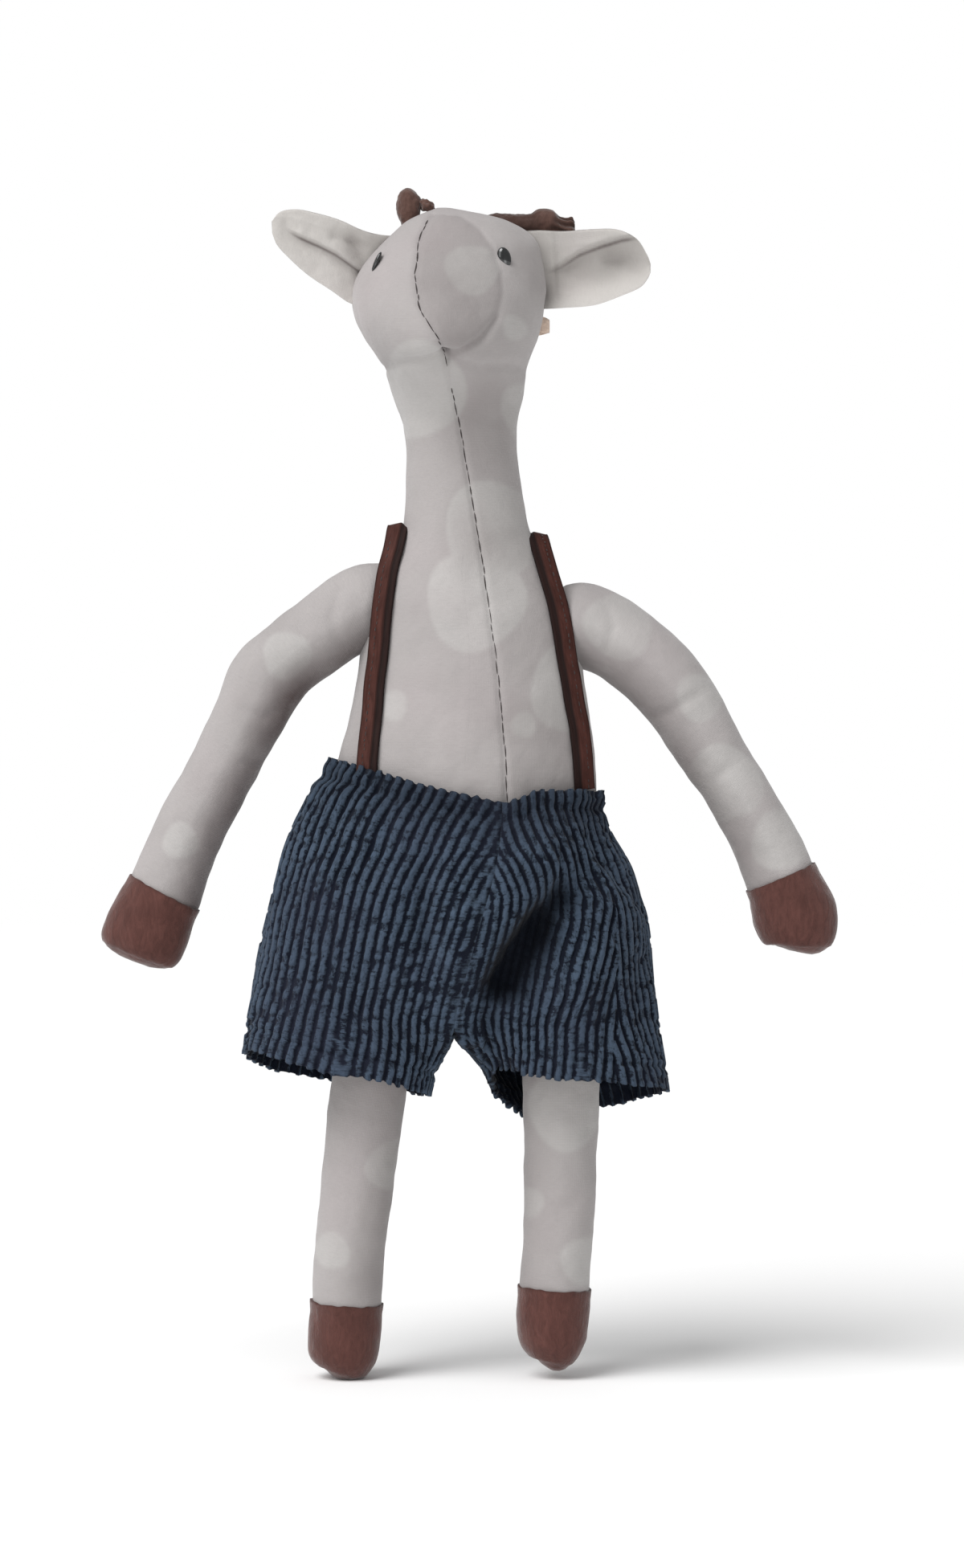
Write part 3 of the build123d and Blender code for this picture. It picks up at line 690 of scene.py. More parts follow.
def shaped_body(sizes):
    """The body's grid with stuffing lumps, face moves and sewn seams, its printed spots and its painted
    shade.
    """
    grid = body_grid(sizes.around * 2)
    normals, _ = outward_normals(grid)
    lumps = 0.55 * noise_at(grid, 16.0, 1) + 0.22 * noise_at(grid, 6.0, 2)
    grid = grid + normals * lumps[..., None]
    front = normals[..., 1] < 0.2
    nose_x, nose_z = FRONT_SEAM[0]
    # the pinch below the nose, with creases running to both sides of the throat
    gap = np.hypot((grid[..., 0] - nose_x) / 1.4, grid[..., 2] - nose_z)
    pinch = 3.2 * np.exp(-((gap / 3.6) ** 2))
    for crease, depth, width in (([(nose_x, nose_z), (-18.0, 338.6), (-29.0, 339.6)], 2.6, 1.3),
                                 ([(nose_x, nose_z), (-3.0, 341.0), (3.6, 346.0), (8.2, 353.0)], 2.2, 1.2),
                                 ([(nose_x, nose_z), (2.0, 337.0), (16.0, 339.0)], 1.4, 1.6),
                                 ([(-27.0, 323.0), (-16.0, 321.0), (-8.0, 324.0)], 0.6, 2.4),
                                 ([(13.0, 327.0), (5.0, 318.0)], 0.5, 2.2)):
        away, share = line_distance(grid[..., [0, 2]], crease)
        pinch = pinch + depth * np.exp(-((away / width) ** 2)) * (1 - 0.6 * share)
    grid = grid - normals * np.where(front, pinch, 0)[..., None]
    depth = sizes.seam_depth / MM
    width = sizes.seam_width / MM
    for line, share in ((FRONT_SEAM, 1.0), (FACE_LEFT, 1.1), (FACE_RIGHT, 0.35)):
        grid = sew(grid, normals, line, depth * share, width)
    back_seam = [(-4.0, 390.0), (-5.0, 350.0), (-4.0, 320.0), (-2.5, 290.0), (-1.0, 240.0), (-3.0, 170.0)]
    grid = sew(grid, normals, back_seam, depth, width, front=False)
    spots = np.maximum(spot_values(grid, BODY_SPOTS), back_spots(grid, 34.0, 5))
    # random darker mottling, painted shade in a band under the chin, a darker face panel, and painted shade
    # over the right half below the chin, the side turned from the light
    shade = 0.30 * np.clip(noise_at(grid, 22.0, 8), 0, 1)
    under = np.exp(-(((grid[..., 2] - 338.0) / 5.5) ** 2)) * (grid[..., 0] > -8.0) * front
    panel = inside_outline(grid, FACE_LEFT + FACE_RIGHT[1:], 1.2) * front
    seam_places, seam_heights = zip(*reversed(FRONT_SEAM))
    past_seam = grid[..., 0] - np.interp(grid[..., 2], seam_heights, seam_places)
    below_chin = np.clip((336.0 - grid[..., 2]) / 6.0, 0, 1)
    right_half_shade = np.clip(past_seam / 1.2, 0, 1) * below_chin * front
    shade = np.clip(shade + 0.05 * under + 0.24 * panel + 0.11 * right_half_shade, 0, 0.8)
    return grid, normals, spots, shade


def surface_tree(obj):
    """A tree for finding the surface of a piece."""
    depsgraph = bpy.context.evaluated_depsgraph_get()
    return BVHTree.FromObject(obj, depsgraph)


def on_surface(tree, x, z):
    """The surface point and normal straight behind a place seen from the front."""
    start = Vector((x * MM, MID_Y * MM - 0.2, z * MM))
    place, normal, _, _ = tree.ray_cast(start, Vector((0, 1, 0)))
    if place is None:
        raise RuntimeError(f"no surface at x {x:.1f}, z {z:.1f}")
    return np.array(place) / MM, np.array(normal)


def stitch_points(tree, line, lift):
    """Points on the surface along a seam's line, a little above it."""
    rows, _ = even_rows([(x, z, 0.0) for x, z in line], 0.6)
    points = []
    for x, z, _ in rows:
        place, normal = on_surface(tree, x, z)
        points.append(place + normal * lift)
    return np.array(points)


def thread_pieces(name, path, stitch, gap, radius, seed):
    """Separate short stitches of thread along a path, as one mesh."""
    rng = np.random.default_rng(seed)
    run = np.concatenate([[0], np.cumsum(np.linalg.norm(np.diff(path, axis=0), axis=1))])
    points, faces = [], []
    at = 0.0
    sides = 6
    while at < run[-1] - stitch:
        length = stitch * rng.uniform(0.55, 1.35)
        steps = np.linspace(at, min(at + length, run[-1]), 7)
        line = np.column_stack([np.interp(steps, run, column) for column in path.T])
        line += np.array([rng.uniform(-0.25, 0.25), 0.0, 0.0])
        arch = np.sin(np.linspace(0, math.pi, 7))
        thick = radius * rng.uniform(0.7, 1.25) * (0.35 + 0.65 * arch)
        first = len(points)
        for place, r in zip(line, thick):
            for side in range(sides):
                turn = 2 * math.pi * side / sides
                points.append(place + np.array([math.cos(turn) * r, -math.sin(turn) * r, 0.0]))
        for i in range(6):
            for side in range(sides):
                other = (side + 1) % sides
                faces.append((first + i * sides + side, first + i * sides + other,
                              first + (i + 1) * sides + other, first + (i + 1) * sides + side))
        faces.append(tuple(first + side for side in reversed(range(sides))))
        faces.append(tuple(first + 6 * sides + side for side in range(sides)))
        at += length + gap * rng.uniform(0.3, 1.6)
    return mesh_object(name, np.array(points), faces)


# ---- operators: one for each piece or group of like pieces -----------------------------------------
class GIRAFFE_OT_body(bpy.types.Operator):
    """Sew the printed cover of the body, neck and head, with its face panel and seams"""

    bl_idname = "giraffe.body"
    bl_label = "Body and Head"

    def execute(self, context):
        sizes = context.scene.giraffe_sizes
        grid, _, spots, shade = shaped_body(sizes)
        skin = tube_object("body_skin", grid, {"spot": spots, "shade": shade})
        dress(skin, cotton_material(context))
        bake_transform(skin)
        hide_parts("body_stuffing", "body_cover_left", "body_cover_right", "head_stuffing",
                    "head_cover_left", "head_cover_right", "face_panel")
        tree = surface_tree(skin)
        thread = material_of("sewing_thread", thread_material, context.scene.giraffe_colours)
        stitch = sizes.stitch / MM
        seam = stitch_points(tree, FRONT_SEAM[1:], 0.05)
        front = thread_pieces("front_seam_thread", seam, stitch * 1.6, 0.35, 0.2, 3)
        dress(front, thread)
        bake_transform(front)
        face = stitch_points(tree, FACE_LEFT[1:] + [(-8.0, 336.6)], 0.05)
        loops = thread_pieces("face_panel_stitches", face, stitch * 1.7, 0.3, 0.26, 11)
        dress(loops, thread)
        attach(loops, "head")
        return {"FINISHED"}


def limb_object(context, name, places, spots, seed, shade_side, wrinkles=()):
    """A stuffed limb's sleeve with lumps, soft wrinkles, printed spots, a seam, and painted shade on the
    side turned from the light.
    """
    sizes = context.scene.giraffe_sizes
    last = np.array(places[-1])
    step = last - np.array(places[-2])
    hidden = last + step * 4.0 / np.linalg.norm(step[:3])
    hidden[3:] = last[3:] - 0.9
    grid, _, turn = limb_grid(list(places) + [tuple(hidden)], 1.1, sizes.around)
    normals, _ = outward_normals(grid)
    lumps = 0.5 * noise_at(grid, 13.0, seed) + 0.22 * noise_at(grid, 5.0, seed + 1)
    grid = grid + normals * lumps[..., None]
    for line, depth, width in wrinkles:
        away, share = line_distance(grid[..., [0, 2]], line)
        facing = np.clip(-normals[..., 1] * 1.5 + 0.6, 0, 1)
        dip = depth * np.exp(-((away / width) ** 2)) * np.sin(math.pi * np.clip(share, 0.03, 0.97)) ** 0.5
        grid = grid - normals * (dip * facing)[..., None]
    seam_turn = turn[int(np.argmax(grid[len(grid) // 2, :, 1]))]
    behind = np.exp(-(((turn - seam_turn) / 0.07) ** 2))
    grid = grid - normals * (behind[None, :, None] * sizes.seam_depth / MM)
    value = np.maximum(spot_values(grid, spots), back_spots(grid, 30.0, seed))
    # painted shade on the side turned from the light, broken up by noise, with random darker mottling added
    under = np.clip((normals[..., 0] * shade_side[0] + normals[..., 2] * shade_side[1]), 0, 1)
    clouds = noise_at(grid, 17.0, seed + 5)
    shade = shade_side[2] * under**0.9 * np.clip(0.9 + 0.4 * clouds, 0.4, 1.3)
    shade = np.clip(shade + 0.12 * np.clip(noise_at(grid, 19.0, seed + 6), 0, 1), 0, 0.92)
    limb = tube_object(name, grid, {"spot": value, "shade": shade})
    dress(limb, cotton_material(context))
    return limb


def hoof_object(context, name, places, seed, lip=0.35):
    """A suede hoof sewn over the limb's end, with a turned lip, an end seam, and painted shade in its side
    seams and along the lip.
    """
    sizes = context.scene.giraffe_sizes
    grid, along, turn = limb_grid(places, 0.7, sizes.around)
    normals, _ = outward_normals(grid)
    share = along / along[-1]
    ragged = 0.35 * noise_at(grid[:1], 3.0, seed)[0]
    grid[0, :, 2] += ragged * 1.5
    lumps = 0.30 * noise_at(grid, 9.0, seed + 1) + 0.14 * noise_at(grid, 3.5, seed + 2)
    swell = lip * np.clip(1 - along / 3.0, 0, 1) ** 0.5 + 0.45
    grid = grid + normals * (lumps + swell[:, None] * (share[:, None] < 0.9))[..., None]
    sides = np.exp(-((np.abs(np.sin(turn)) / 0.05) ** 2))
    grid = grid - normals * (0.7 * sides[None, :] * (share[:, None] > 0.05))[..., None]
    grid[..., 2] = np.maximum(grid[..., 2], 0.0)
    # painted shade in the creases of the side seams and along the turned lip
    shade = 0.75 * sides[None, :] * np.ones_like(share)[:, None]
    shade = np.maximum(shade, 0.6 * np.clip(1 - along / 0.9, 0, 1)[:, None])
    # the lip folds back inside, so the hoof has an edge and no open end
    inner = grid[0] - normals[0] * 1.6
    grid = np.concatenate([inner[None], grid])
    shade = np.concatenate([shade[:1], shade])
    hoof = tube_object(name, grid, {"shade": shade})
    colours = context.scene.giraffe_colours
    leather = material_of("brushed_hoof_suede", suede, "brushed_hoof_suede", tuple(colours.hoof))
    dress(hoof, leather)
    return hoof


# Each arm: its rows, its hand's rows, printed spots, a noise seed, the painted shade (weights of the
# normal's X and Z that pick the side turned from the light, and strength), and wrinkles as line, depth and
# half width.
ARMS = {
    "left": (LEFT_ARM, LEFT_HAND, LEFT_ARM_SPOTS, 21, (0.85, -0.7, 0.95), [
        ([(-80.0, 226.0), (-70.0, 222.0), (-62.0, 226.0)], 0.8, 1.8),
        ([(-88.0, 216.0), (-78.0, 207.0), (-70.0, 208.0)], 0.7, 1.6),
        ([(-44.0, 268.0), (-47.0, 256.0), (-44.0, 246.0)], 0.6, 2.0),
        ([(-100.0, 190.0), (-92.0, 183.0)], 0.6, 1.4)]),
    "right": (RIGHT_ARM, RIGHT_HAND, RIGHT_ARM_SPOTS, 31, (-0.75, -0.7, 0.6), [
        ([(78.0, 232.0), (66.0, 224.0), (58.0, 222.0)], 0.8, 1.8),
        ([(45.0, 262.0), (47.0, 252.0), (44.0, 242.0)], 0.7, 2.0),
        ([(88.0, 208.0), (80.0, 200.0)], 0.5, 1.6)]),
}


class GIRAFFE_OT_arms(bpy.types.Operator):
    """Sew the two stuffed arms and their suede hand hooves"""

    bl_idname = "giraffe.arms"
    bl_label = "Arms"

    def execute(self, context):
        for side, (arm, hand, spots, seed, shade, wrinkles) in ARMS.items():
            sleeve = limb_object(context, f"arm_{side}_sleeve_cloth", arm, spots, seed, shade, wrinkles)
            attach(sleeve, f"{side}_arm")
            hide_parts(f"arm_{side}_sleeve", f"arm_{side}_stuffing")
            hoof = hoof_object(context, f"arm_{side}_suede", hand, seed + 3)
            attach(hoof, f"{side}_arm")
            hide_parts(f"arm_{side}_hoof")
        return {"FINISHED"}


# Each leg: its rows, its foot's rows, printed spots, a noise seed, the painted shade (weights of the
# normal's X and Z that pick the side turned from the light, and strength), and wrinkles as line, depth and
# half width.
LEGS = {
    "left": (LEFT_LEG, LEFT_FOOT, LEFT_LEG_SPOTS, 41, (0.9, -0.2, 0.25), [
        ([(-48.0, 78.0), (-40.0, 73.0), (-30.0, 75.0)], 0.4, 2.0)]),
    "right": (RIGHT_LEG, RIGHT_FOOT, RIGHT_LEG_SPOTS, 51, (-0.9, -0.2, 0.2), [
        ([(20.0, 62.0), (29.0, 58.0), (38.0, 61.0)], 0.4, 2.0)]),
}


class GIRAFFE_OT_legs(bpy.types.Operator):
    """Sew the two stuffed legs and their suede foot hooves"""

    bl_idname = "giraffe.legs"
    bl_label = "Legs"

    def execute(self, context):
        for side, (leg, foot, spots, seed, shade, wrinkles) in LEGS.items():
            tube = limb_object(context, f"leg_{side}_cloth", leg, spots, seed, shade, wrinkles)
            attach(tube, f"{side}_leg")
            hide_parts(f"leg_{side}_sleeve", f"leg_{side}_stuffing")
            hoof = hoof_object(context, f"leg_{side}_suede", foot, seed + 3)
            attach(hoof, f"{side}_leg")
            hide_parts(f"leg_{side}_hoof")
        return {"FINISHED"}


# ---- shorts --------------------------------------------------------------------------------------
# The shorts' outline: height, lowest X, seam X, highest X, half depth.
SHORTS_OUTLINE = [
    (214, -46.0, 8.6, 40.6, 28.5), (208, -47.0, 9.2, 41.2, 28.8), (203, -50.0, 9.6, 41.8, 29.8),
    (196, -54.6, 9.8, 42.4, 31.4), (188, -58.8, 9.6, 43.6, 33.2), (178, -62.6, 8.6, 48.6, 35.0),
    (168, -65.4, 6.6, 53.2, 36.0), (156, -68.0, 3.2, 56.8, 35.6), (142, -70.8, -0.6, 58.8, 34.2),
    (130, -73.0, -4.0, 60.6, 32.6), (118, -75.2, -6.4, 62.0, 31.0), (106, -77.0, -6.4, 64.0, 30.0),
    (96, -77.6, -6.4, 65.6, 29.6), (84, -78.0, -6.4, 66.6, 29.4),
]
CROTCH_Z = 122.0
# The inner side of each leg of the shorts by height: X at its front and X at its back.
LEFT_INSEAM = [(128, -6.0, -6.0), (122, -7.0, -7.4), (116, -8.6, -9.2), (104, -12.2, -12.8),
               (96, -14.6, -15.4), (84, -18.0, -18.0)]
RIGHT_INSEAM = [(128, 1.0, -6.6), (122, 4.8, -7.4), (116, 7.2, -7.4), (110, 9.4, -5.6), (104, 10.8, -1.6),
                (97, 12.2, 4.4), (90, 13.4, 11.0), (84, 15.4, 17.0)]
# Folds of the shorts, seen from the front: line of X and Z, depth and half width. Negative bulges out.
SHORTS_FOLDS = [
    ([(28.0, 163.0), (21.0, 154.0), (13.5, 144.0), (8.0, 134.0), (4.0, 123.0)], 13.0, 8.5),
    ([(36.0, 167.0), (30.0, 162.0), (21.0, 152.0)], 4.6, 5.5),
    ([(14.0, 172.0), (22.0, 176.0), (30.0, 178.0)], -3.6, 7.0),
    ([(43.0, 156.0), (38.0, 142.0), (34.0, 126.0), (33.0, 112.0)], -3.6, 9.0),
    ([(-3.0, 168.0), (-2.0, 154.0), (-3.5, 138.0), (-4.0, 126.0)], -3.4, 7.5),
    ([(-14.0, 184.0), (-17.0, 166.0), (-15.0, 148.0), (-14.0, 132.0)], 3.4, 5.0),
    ([(36.0, 190.0), (41.0, 180.0), (48.0, 170.0), (54.0, 160.0)], 2.6, 2.6),
    ([(30.0, 188.0), (36.0, 176.0), (44.0, 166.0)], 1.6, 2.2),
    ([(-38.0, 203.0), (-42.0, 192.0), (-50.0, 178.0)], 1.7, 2.6),
    ([(-27.0, 202.0), (-29.0, 188.0), (-34.0, 168.0)], 1.1, 3.0),
    ([(-50.0, 190.0), (-57.0, 172.0), (-60.0, 150.0)], 1.0, 3.6),
    ([(58.0, 150.0), (56.0, 132.0), (58.0, 112.0)], 1.4, 3.4),
    ([(24.0, 138.0), (22.0, 122.0), (24.0, 108.0)], 1.2, 3.0),
    ([(-36.0, 140.0), (-38.0, 122.0), (-37.0, 106.0)], 0.9, 3.6),
]


def by_height(rows):
    """Values by height, smoothed between the rows."""
    dense = smooth_rows(rows, 30 * len(rows))
    dense = dense[np.argsort(dense[:, 0])]
    return lambda z, column: np.interp(z, dense[:, 0], dense[:, column])


def waist_height(x, front):
    """The top edge of the shorts, which dips at the front seam."""
    edge = np.interp(x, [-48, -40, -29, -10, 4, 11, 18, 26, 44],
                     [208.0, 208.6, 205.4, 199.2, 195.0, 193.4, 195.0, 197.6, 197.8])
    behind = np.interp(x, [-48, 44], [209.0, 196.0])
    return behind + (edge - behind) * front


def hem_height(side, x, front):
    """The bottom edge of a leg of the shorts; its back hangs lower than its front."""
    if side == "left":
        edge = np.interp(x, [-78, -62, -45, -28, -12], [113.6, 109.4, 104.6, 100.4, 96.6])
        behind = np.interp(x, [-78, -66, -45, -28, -12], [107.6, 102.0, 97.6, 94.6, 94.4])
    else:
        edge = np.interp(x, [4, 12, 30, 50, 68], [108.0, 106.0, 103.6, 101.6, 99.4])
        behind = np.interp(x, [-2, 6, 14, 30, 50, 68], [104.0, 94.0, 87.0, 88.0, 90.0, 95.0])
    return behind + (edge - behind) * np.clip(front * 1.1 + 0.5, 0, 1)


def shorts_half(sizes, side):
    """One half of the shorts as a closed grid, its rows above the crotch, and how its ribs run."""
    way = -1.0 if side == "left" else 1.0
    outline = by_height(SHORTS_OUTLINE)
    inseam = by_height(LEFT_INSEAM if side == "left" else RIGHT_INSEAM)
    outer, inner, upper, lower = 380, 60, 120, 42
    turned = math.radians(64)
    t = np.linspace(0, 1, outer)
    u = np.linspace(0, 1, inner + 2)[1:-1]
    seat_turn = np.concatenate([-math.pi / 2 + math.pi * t, np.zeros(inner)])
    leg_turn = np.concatenate([-math.pi / 2 - turned + (math.pi + 2 * turned) * t,
                               math.pi / 2 + turned + (math.pi - 2 * turned) * u])
    is_inner = np.arange(outer + inner) >= outer
    across = np.concatenate([np.zeros(outer), 1 - 2 * u])
    closeness = np.concatenate([np.abs(2 * t - 1), np.ones(inner)])
    # heights of the rows: waist to crotch, then crotch to hem
    top_x = outline(203.0, 2) + way * np.abs(np.cos(seat_turn)) ** 0.8 * 48.0
    top = waist_height(top_x, np.clip(-np.sin(seat_turn), 0, 1) ** 0.35)
    mid = (inseam(100.0, 1) + outline(100.0, 1 if way < 0 else 3)) / 2
    low_x = mid + way * np.cos(leg_turn) * 31.0
    low = hem_height(side, low_x, -np.sin(leg_turn))
    upper_share = np.linspace(0, 1, upper)[:, None]
    lower_share = np.linspace(0, 1, lower + 1)[1:, None]
    z = np.vstack([top + (CROTCH_Z - top) * upper_share, CROTCH_Z + (low - CROTCH_Z) * lower_share])
    edge, seam, far, deep = (outline(z, i) for i in (1, 2, 3, 4))
    # the seat's share: half of the outline that both halves make together
    reach = seam - edge if way < 0 else far - seam
    round_seat = np.abs(np.cos(seat_turn)) ** 0.8
    seat_x = np.where(is_inner, seam, seam + way * reach * round_seat)
    seat_y = np.where(is_inner, deep * across, deep * np.sign(np.sin(seat_turn))
                      * np.abs(np.sin(seat_turn)) ** 0.85)
    # the leg's share: a tube of its own
    back_share = 0.5 + 0.5 * np.sin(leg_turn)
    inside = inseam(z, 1) + (inseam(z, 2) - inseam(z, 1)) * back_share
    outside = edge if way < 0 else far
    middle = (inside + outside) / 2
    sideways = np.cos(leg_turn)
    round_leg = np.sign(sideways) * np.abs(sideways) ** np.where(sideways < 0, 0.6, 0.85)
    leg_x = middle + way * np.abs(outside - inside) / 2 * round_leg
    leg_y = deep * np.sign(np.sin(leg_turn)) * np.abs(np.sin(leg_turn)) ** 0.8
    start = CROTCH_Z + 22 * (1 - closeness**2)
    join = np.clip((start - z) / (start - 103.0), 0, 1)
    join = join * join * (3 - 2 * join)
    grid = np.stack([seat_x + (leg_x - seat_x) * join, MID_Y + seat_y + (leg_y - seat_y) * join, z], axis=-1)
    # ribs: counted from the outer side, gathered at the waist, some starting at the front seam
    steps = np.linalg.norm(np.diff(grid, axis=1), axis=-1)
    run = np.concatenate([np.zeros((len(z), 1)), np.cumsum(steps, axis=1)], axis=1)
    side_column = outer // 2
    run = run - run[:, side_column:side_column + 1]
    pitch = sizes.rib_pitch / MM
    gathered = pitch * ((1.0 if side == "left" else 0.9) - 0.12 * np.clip((z - 178) / 26, 0, 1))
    ribs = run / gathered
    from_seam = np.exp(-(np.minimum(np.arange(outer + inner), 400)[None] / 46.0))
    ribs = ribs - 2.6 * from_seam * np.clip((196 - z) / 60, 0, 1)
    if side == "right":
        # below the deep fold the ribs slant inwards, and new ones start along the side
        slant = 6.5 * np.clip((163 - z) / 60, 0, 1) * np.clip((MID_Y + 6 - grid[..., 1]) / 12, 0, 1)
        ribs = ribs + slant * (grid[..., 0] < 47.0 + 2.0 * noise_at(grid, 12.0, 63))
    ribs = ribs + 0.16 * noise_at(grid, 17.0, 61) + 0.06 * noise_at(grid, 4.0, 62)
    columns = np.arange(outer + inner)
    to_seam = np.minimum(columns, np.abs(columns - outer + 1)) * 0.42
    seam = np.exp(-((to_seam / 1.6) ** 2)) * np.clip((z - CROTCH_Z + 6) / 8, 0, 1)
    return grid, ribs, upper, outer, seam


def rib_heights(grid, ribs):
    """Height of the corduroy from 0 in a groove to 1 on a rib, with crushed places across the ribs."""
    within = np.abs(ribs - np.round(ribs)) * 2
    uneven = 0.44 + 0.16 * noise_at(grid, 5.0, 71)
    rib = 1 - np.clip((within - uneven) / 0.42, 0, 1)
    rib = rib * rib * (3 - 2 * rib) * (1 - 0.15 * within**2)
    lengthwise = grid.copy()
    lengthwise[..., 0] = np.round(ribs) * 9.0
    lengthwise[..., 1] = 0.0
    nick = noise_at(lengthwise, 2.6, 72)
    patch = np.clip(0.5 + 0.9 * noise_at(grid, 21.0, 73), 0, 1)
    crushed = np.clip((nick - 0.16) / 0.14, 0, 1) * (0.3 + 0.7 * patch)
    worn = np.clip(0.5 + 0.7 * noise_at(grid, 3.2, 74), 0, 1)
    return rib * (1 - 0.7 * crushed), rib, crushed, worn


class GIRAFFE_OT_shorts(bpy.types.Operator):
    """Sew the two halves of the corduroy shorts, with ribs, folds, puckered waist and turned hems"""

    bl_idname = "giraffe.shorts"
    bl_label = "Corduroy Shorts"

    def execute(self, context):
        sizes = context.scene.giraffe_sizes
        colours = context.scene.giraffe_colours
        for side, leg in (("left", "left_leg"), ("right", "right_leg")):
            grid, ribs, upper, outer, seam = shorts_half(sizes, side)
            rows, columns, _ = grid.shape
            normals, out = outward_normals(grid)
            front = np.clip(-normals[..., 1] * 2.0 + 0.2, 0, 1)
            flat = grid[..., [0, 2]]
            fold = np.zeros(grid.shape[:2])
            for line, depth, width in SHORTS_FOLDS:
                away, share = line_distance(flat, line)
                ends = np.clip(np.minimum(share, 1 - share) / 0.25, 0.35, 1)
                heights = sorted((z, x) for x, z in line)
                line_x = np.interp(flat[..., 1], *zip(*heights))
                steep = 0.55 if depth > 10 else 1.0
                reach = width * np.where(flat[..., 0] < line_x, steep, 2.0 - steep)
                fold += depth * np.exp(-((away / reach) ** 2)) * ends
            behind = 2.0 * noise_at(grid * [1.0, 1.0, 0.35], 15.0, 81)
            push = -fold * front + behind * (1 - front)
            push = push + 0.9 * noise_at(grid * [1.0, 1.0, 0.4], 10.0, 82)
            # puckers below the elastic, and the turned hem
            from_top = grid[0, :, 2][None] - grid[..., 2]
            from_hem = grid[..., 2] - grid[-1, :, 2][None]
            pucker = noise_at(grid * [1.0, 1.0, 0.12], 5.0, 83)
            push = push + 1.5 * pucker * np.exp(-np.clip(from_top - 2, 0, 99) / 11.0)
            push = push - 1.0 * np.exp(-(((from_top - 5.5) / 1.6) ** 2))
            push = push - 1.0 * np.exp(-(((from_hem - 6.6) / 1.0) ** 2)) * (0.7 + 0.5 * pucker)
            push = push + 0.8 * noise_at(grid * [1.0, 1.0, 0.2], 4.0, 84) * np.exp(-from_hem / 4.0)
            height, rib, crushed, worn = rib_heights(grid, ribs)
            soft = np.clip(1 - np.clip(fold * front, 0, 15) / 20, 0.3, 1)
            # the fold's depth, for the painted shadow inside it
            fold_shadow = np.clip((fold * front - 2.0) / 7.5, 0, 1)
            move = (push + height * soft * sizes.rib_height / MM) * (1 - seam)
            move = move + seam * (-0.6 - np.clip(fold, -4, 4) * front)
            straight = normals * (1 - seam[..., None])
            straight[..., 1] += np.where(grid[..., 1] < MID_Y, -1.0, 1.0) * seam
            shaped = grid + straight * move[..., None]
            shaped[0, :, 2] += 0.5 * height[0]
            shaped[-1, :, 2] -= 0.7 * height[-1] - 0.5 * noise_at(grid[-1:], 2.2, 85)[0]
            # painted shade along the gathered waist, a little more over the right half, and the painted
            # shadow in the deep fold
            waist = 0.42 * np.exp(-(((from_top - 3.0) / 9.0) ** 2)) + (0.06 if side == "right" else 0.0)
            shade = np.clip(np.maximum(0.95 * fold_shadow, waist), 0, 1)
            faces = [face for face in grid_faces(rows, columns)
                     if not (face[0] // columns < upper - 1
                             and (face[0] % columns >= outer - 1))]
            points = shaped.reshape(-1, 3)
            girth = np.linalg.norm(np.diff(grid[upper], axis=0), axis=1).sum()
            u = np.linspace(0, girth, columns)
            v = np.concatenate([[0], np.cumsum(np.linalg.norm(np.diff(grid[:, 40], axis=0), axis=-1))])
            uvs = np.stack(np.meshgrid(u, v), axis=-1).reshape(-1, 2) * MM
            used = np.zeros(len(points), bool)
            used[np.array(faces).ravel()] = True
            new = np.cumsum(used) - 1
            faces = [tuple(int(new[i]) for i in face) for face in faces]
            values = {"rib": rib, "crushed": crushed, "worn": worn, "shade": shade}
            values = {key: value.ravel()[used] for key, value in values.items()}
            half = mesh_object(f"shorts_{side}", points[used], faces, uvs[used], values)
            if out < 0:
                half.data.flip_normals()
            cloth = half.modifiers.new("thickness", "SOLIDIFY")
            cloth.thickness = sizes.cord_cloth
            cloth.offset = -1.0
            apply_modifiers(context, half)
            dress(half, material_of("ribbed_corduroy", corduroy, colours))
            away = -1 if side == "left" else 1
            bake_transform(half)
            parts = [f"shorts_seat_{side}", f"shorts_leg_{side}"]
            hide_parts(*parts, *(["waist_elastic"] if side == "left" else []))
        return {"FINISHED"}


def apply_modifiers(context, obj):
    """Make a piece's modifiers part of its mesh."""
    evaluated = obj.evaluated_get(context.evaluated_depsgraph_get())
    mesh = bpy.data.meshes.new_from_object(evaluated)
    old = obj.data
    obj.modifiers.clear()
    obj.data = mesh
    mesh.name = obj.name
    bpy.data.meshes.remove(old)


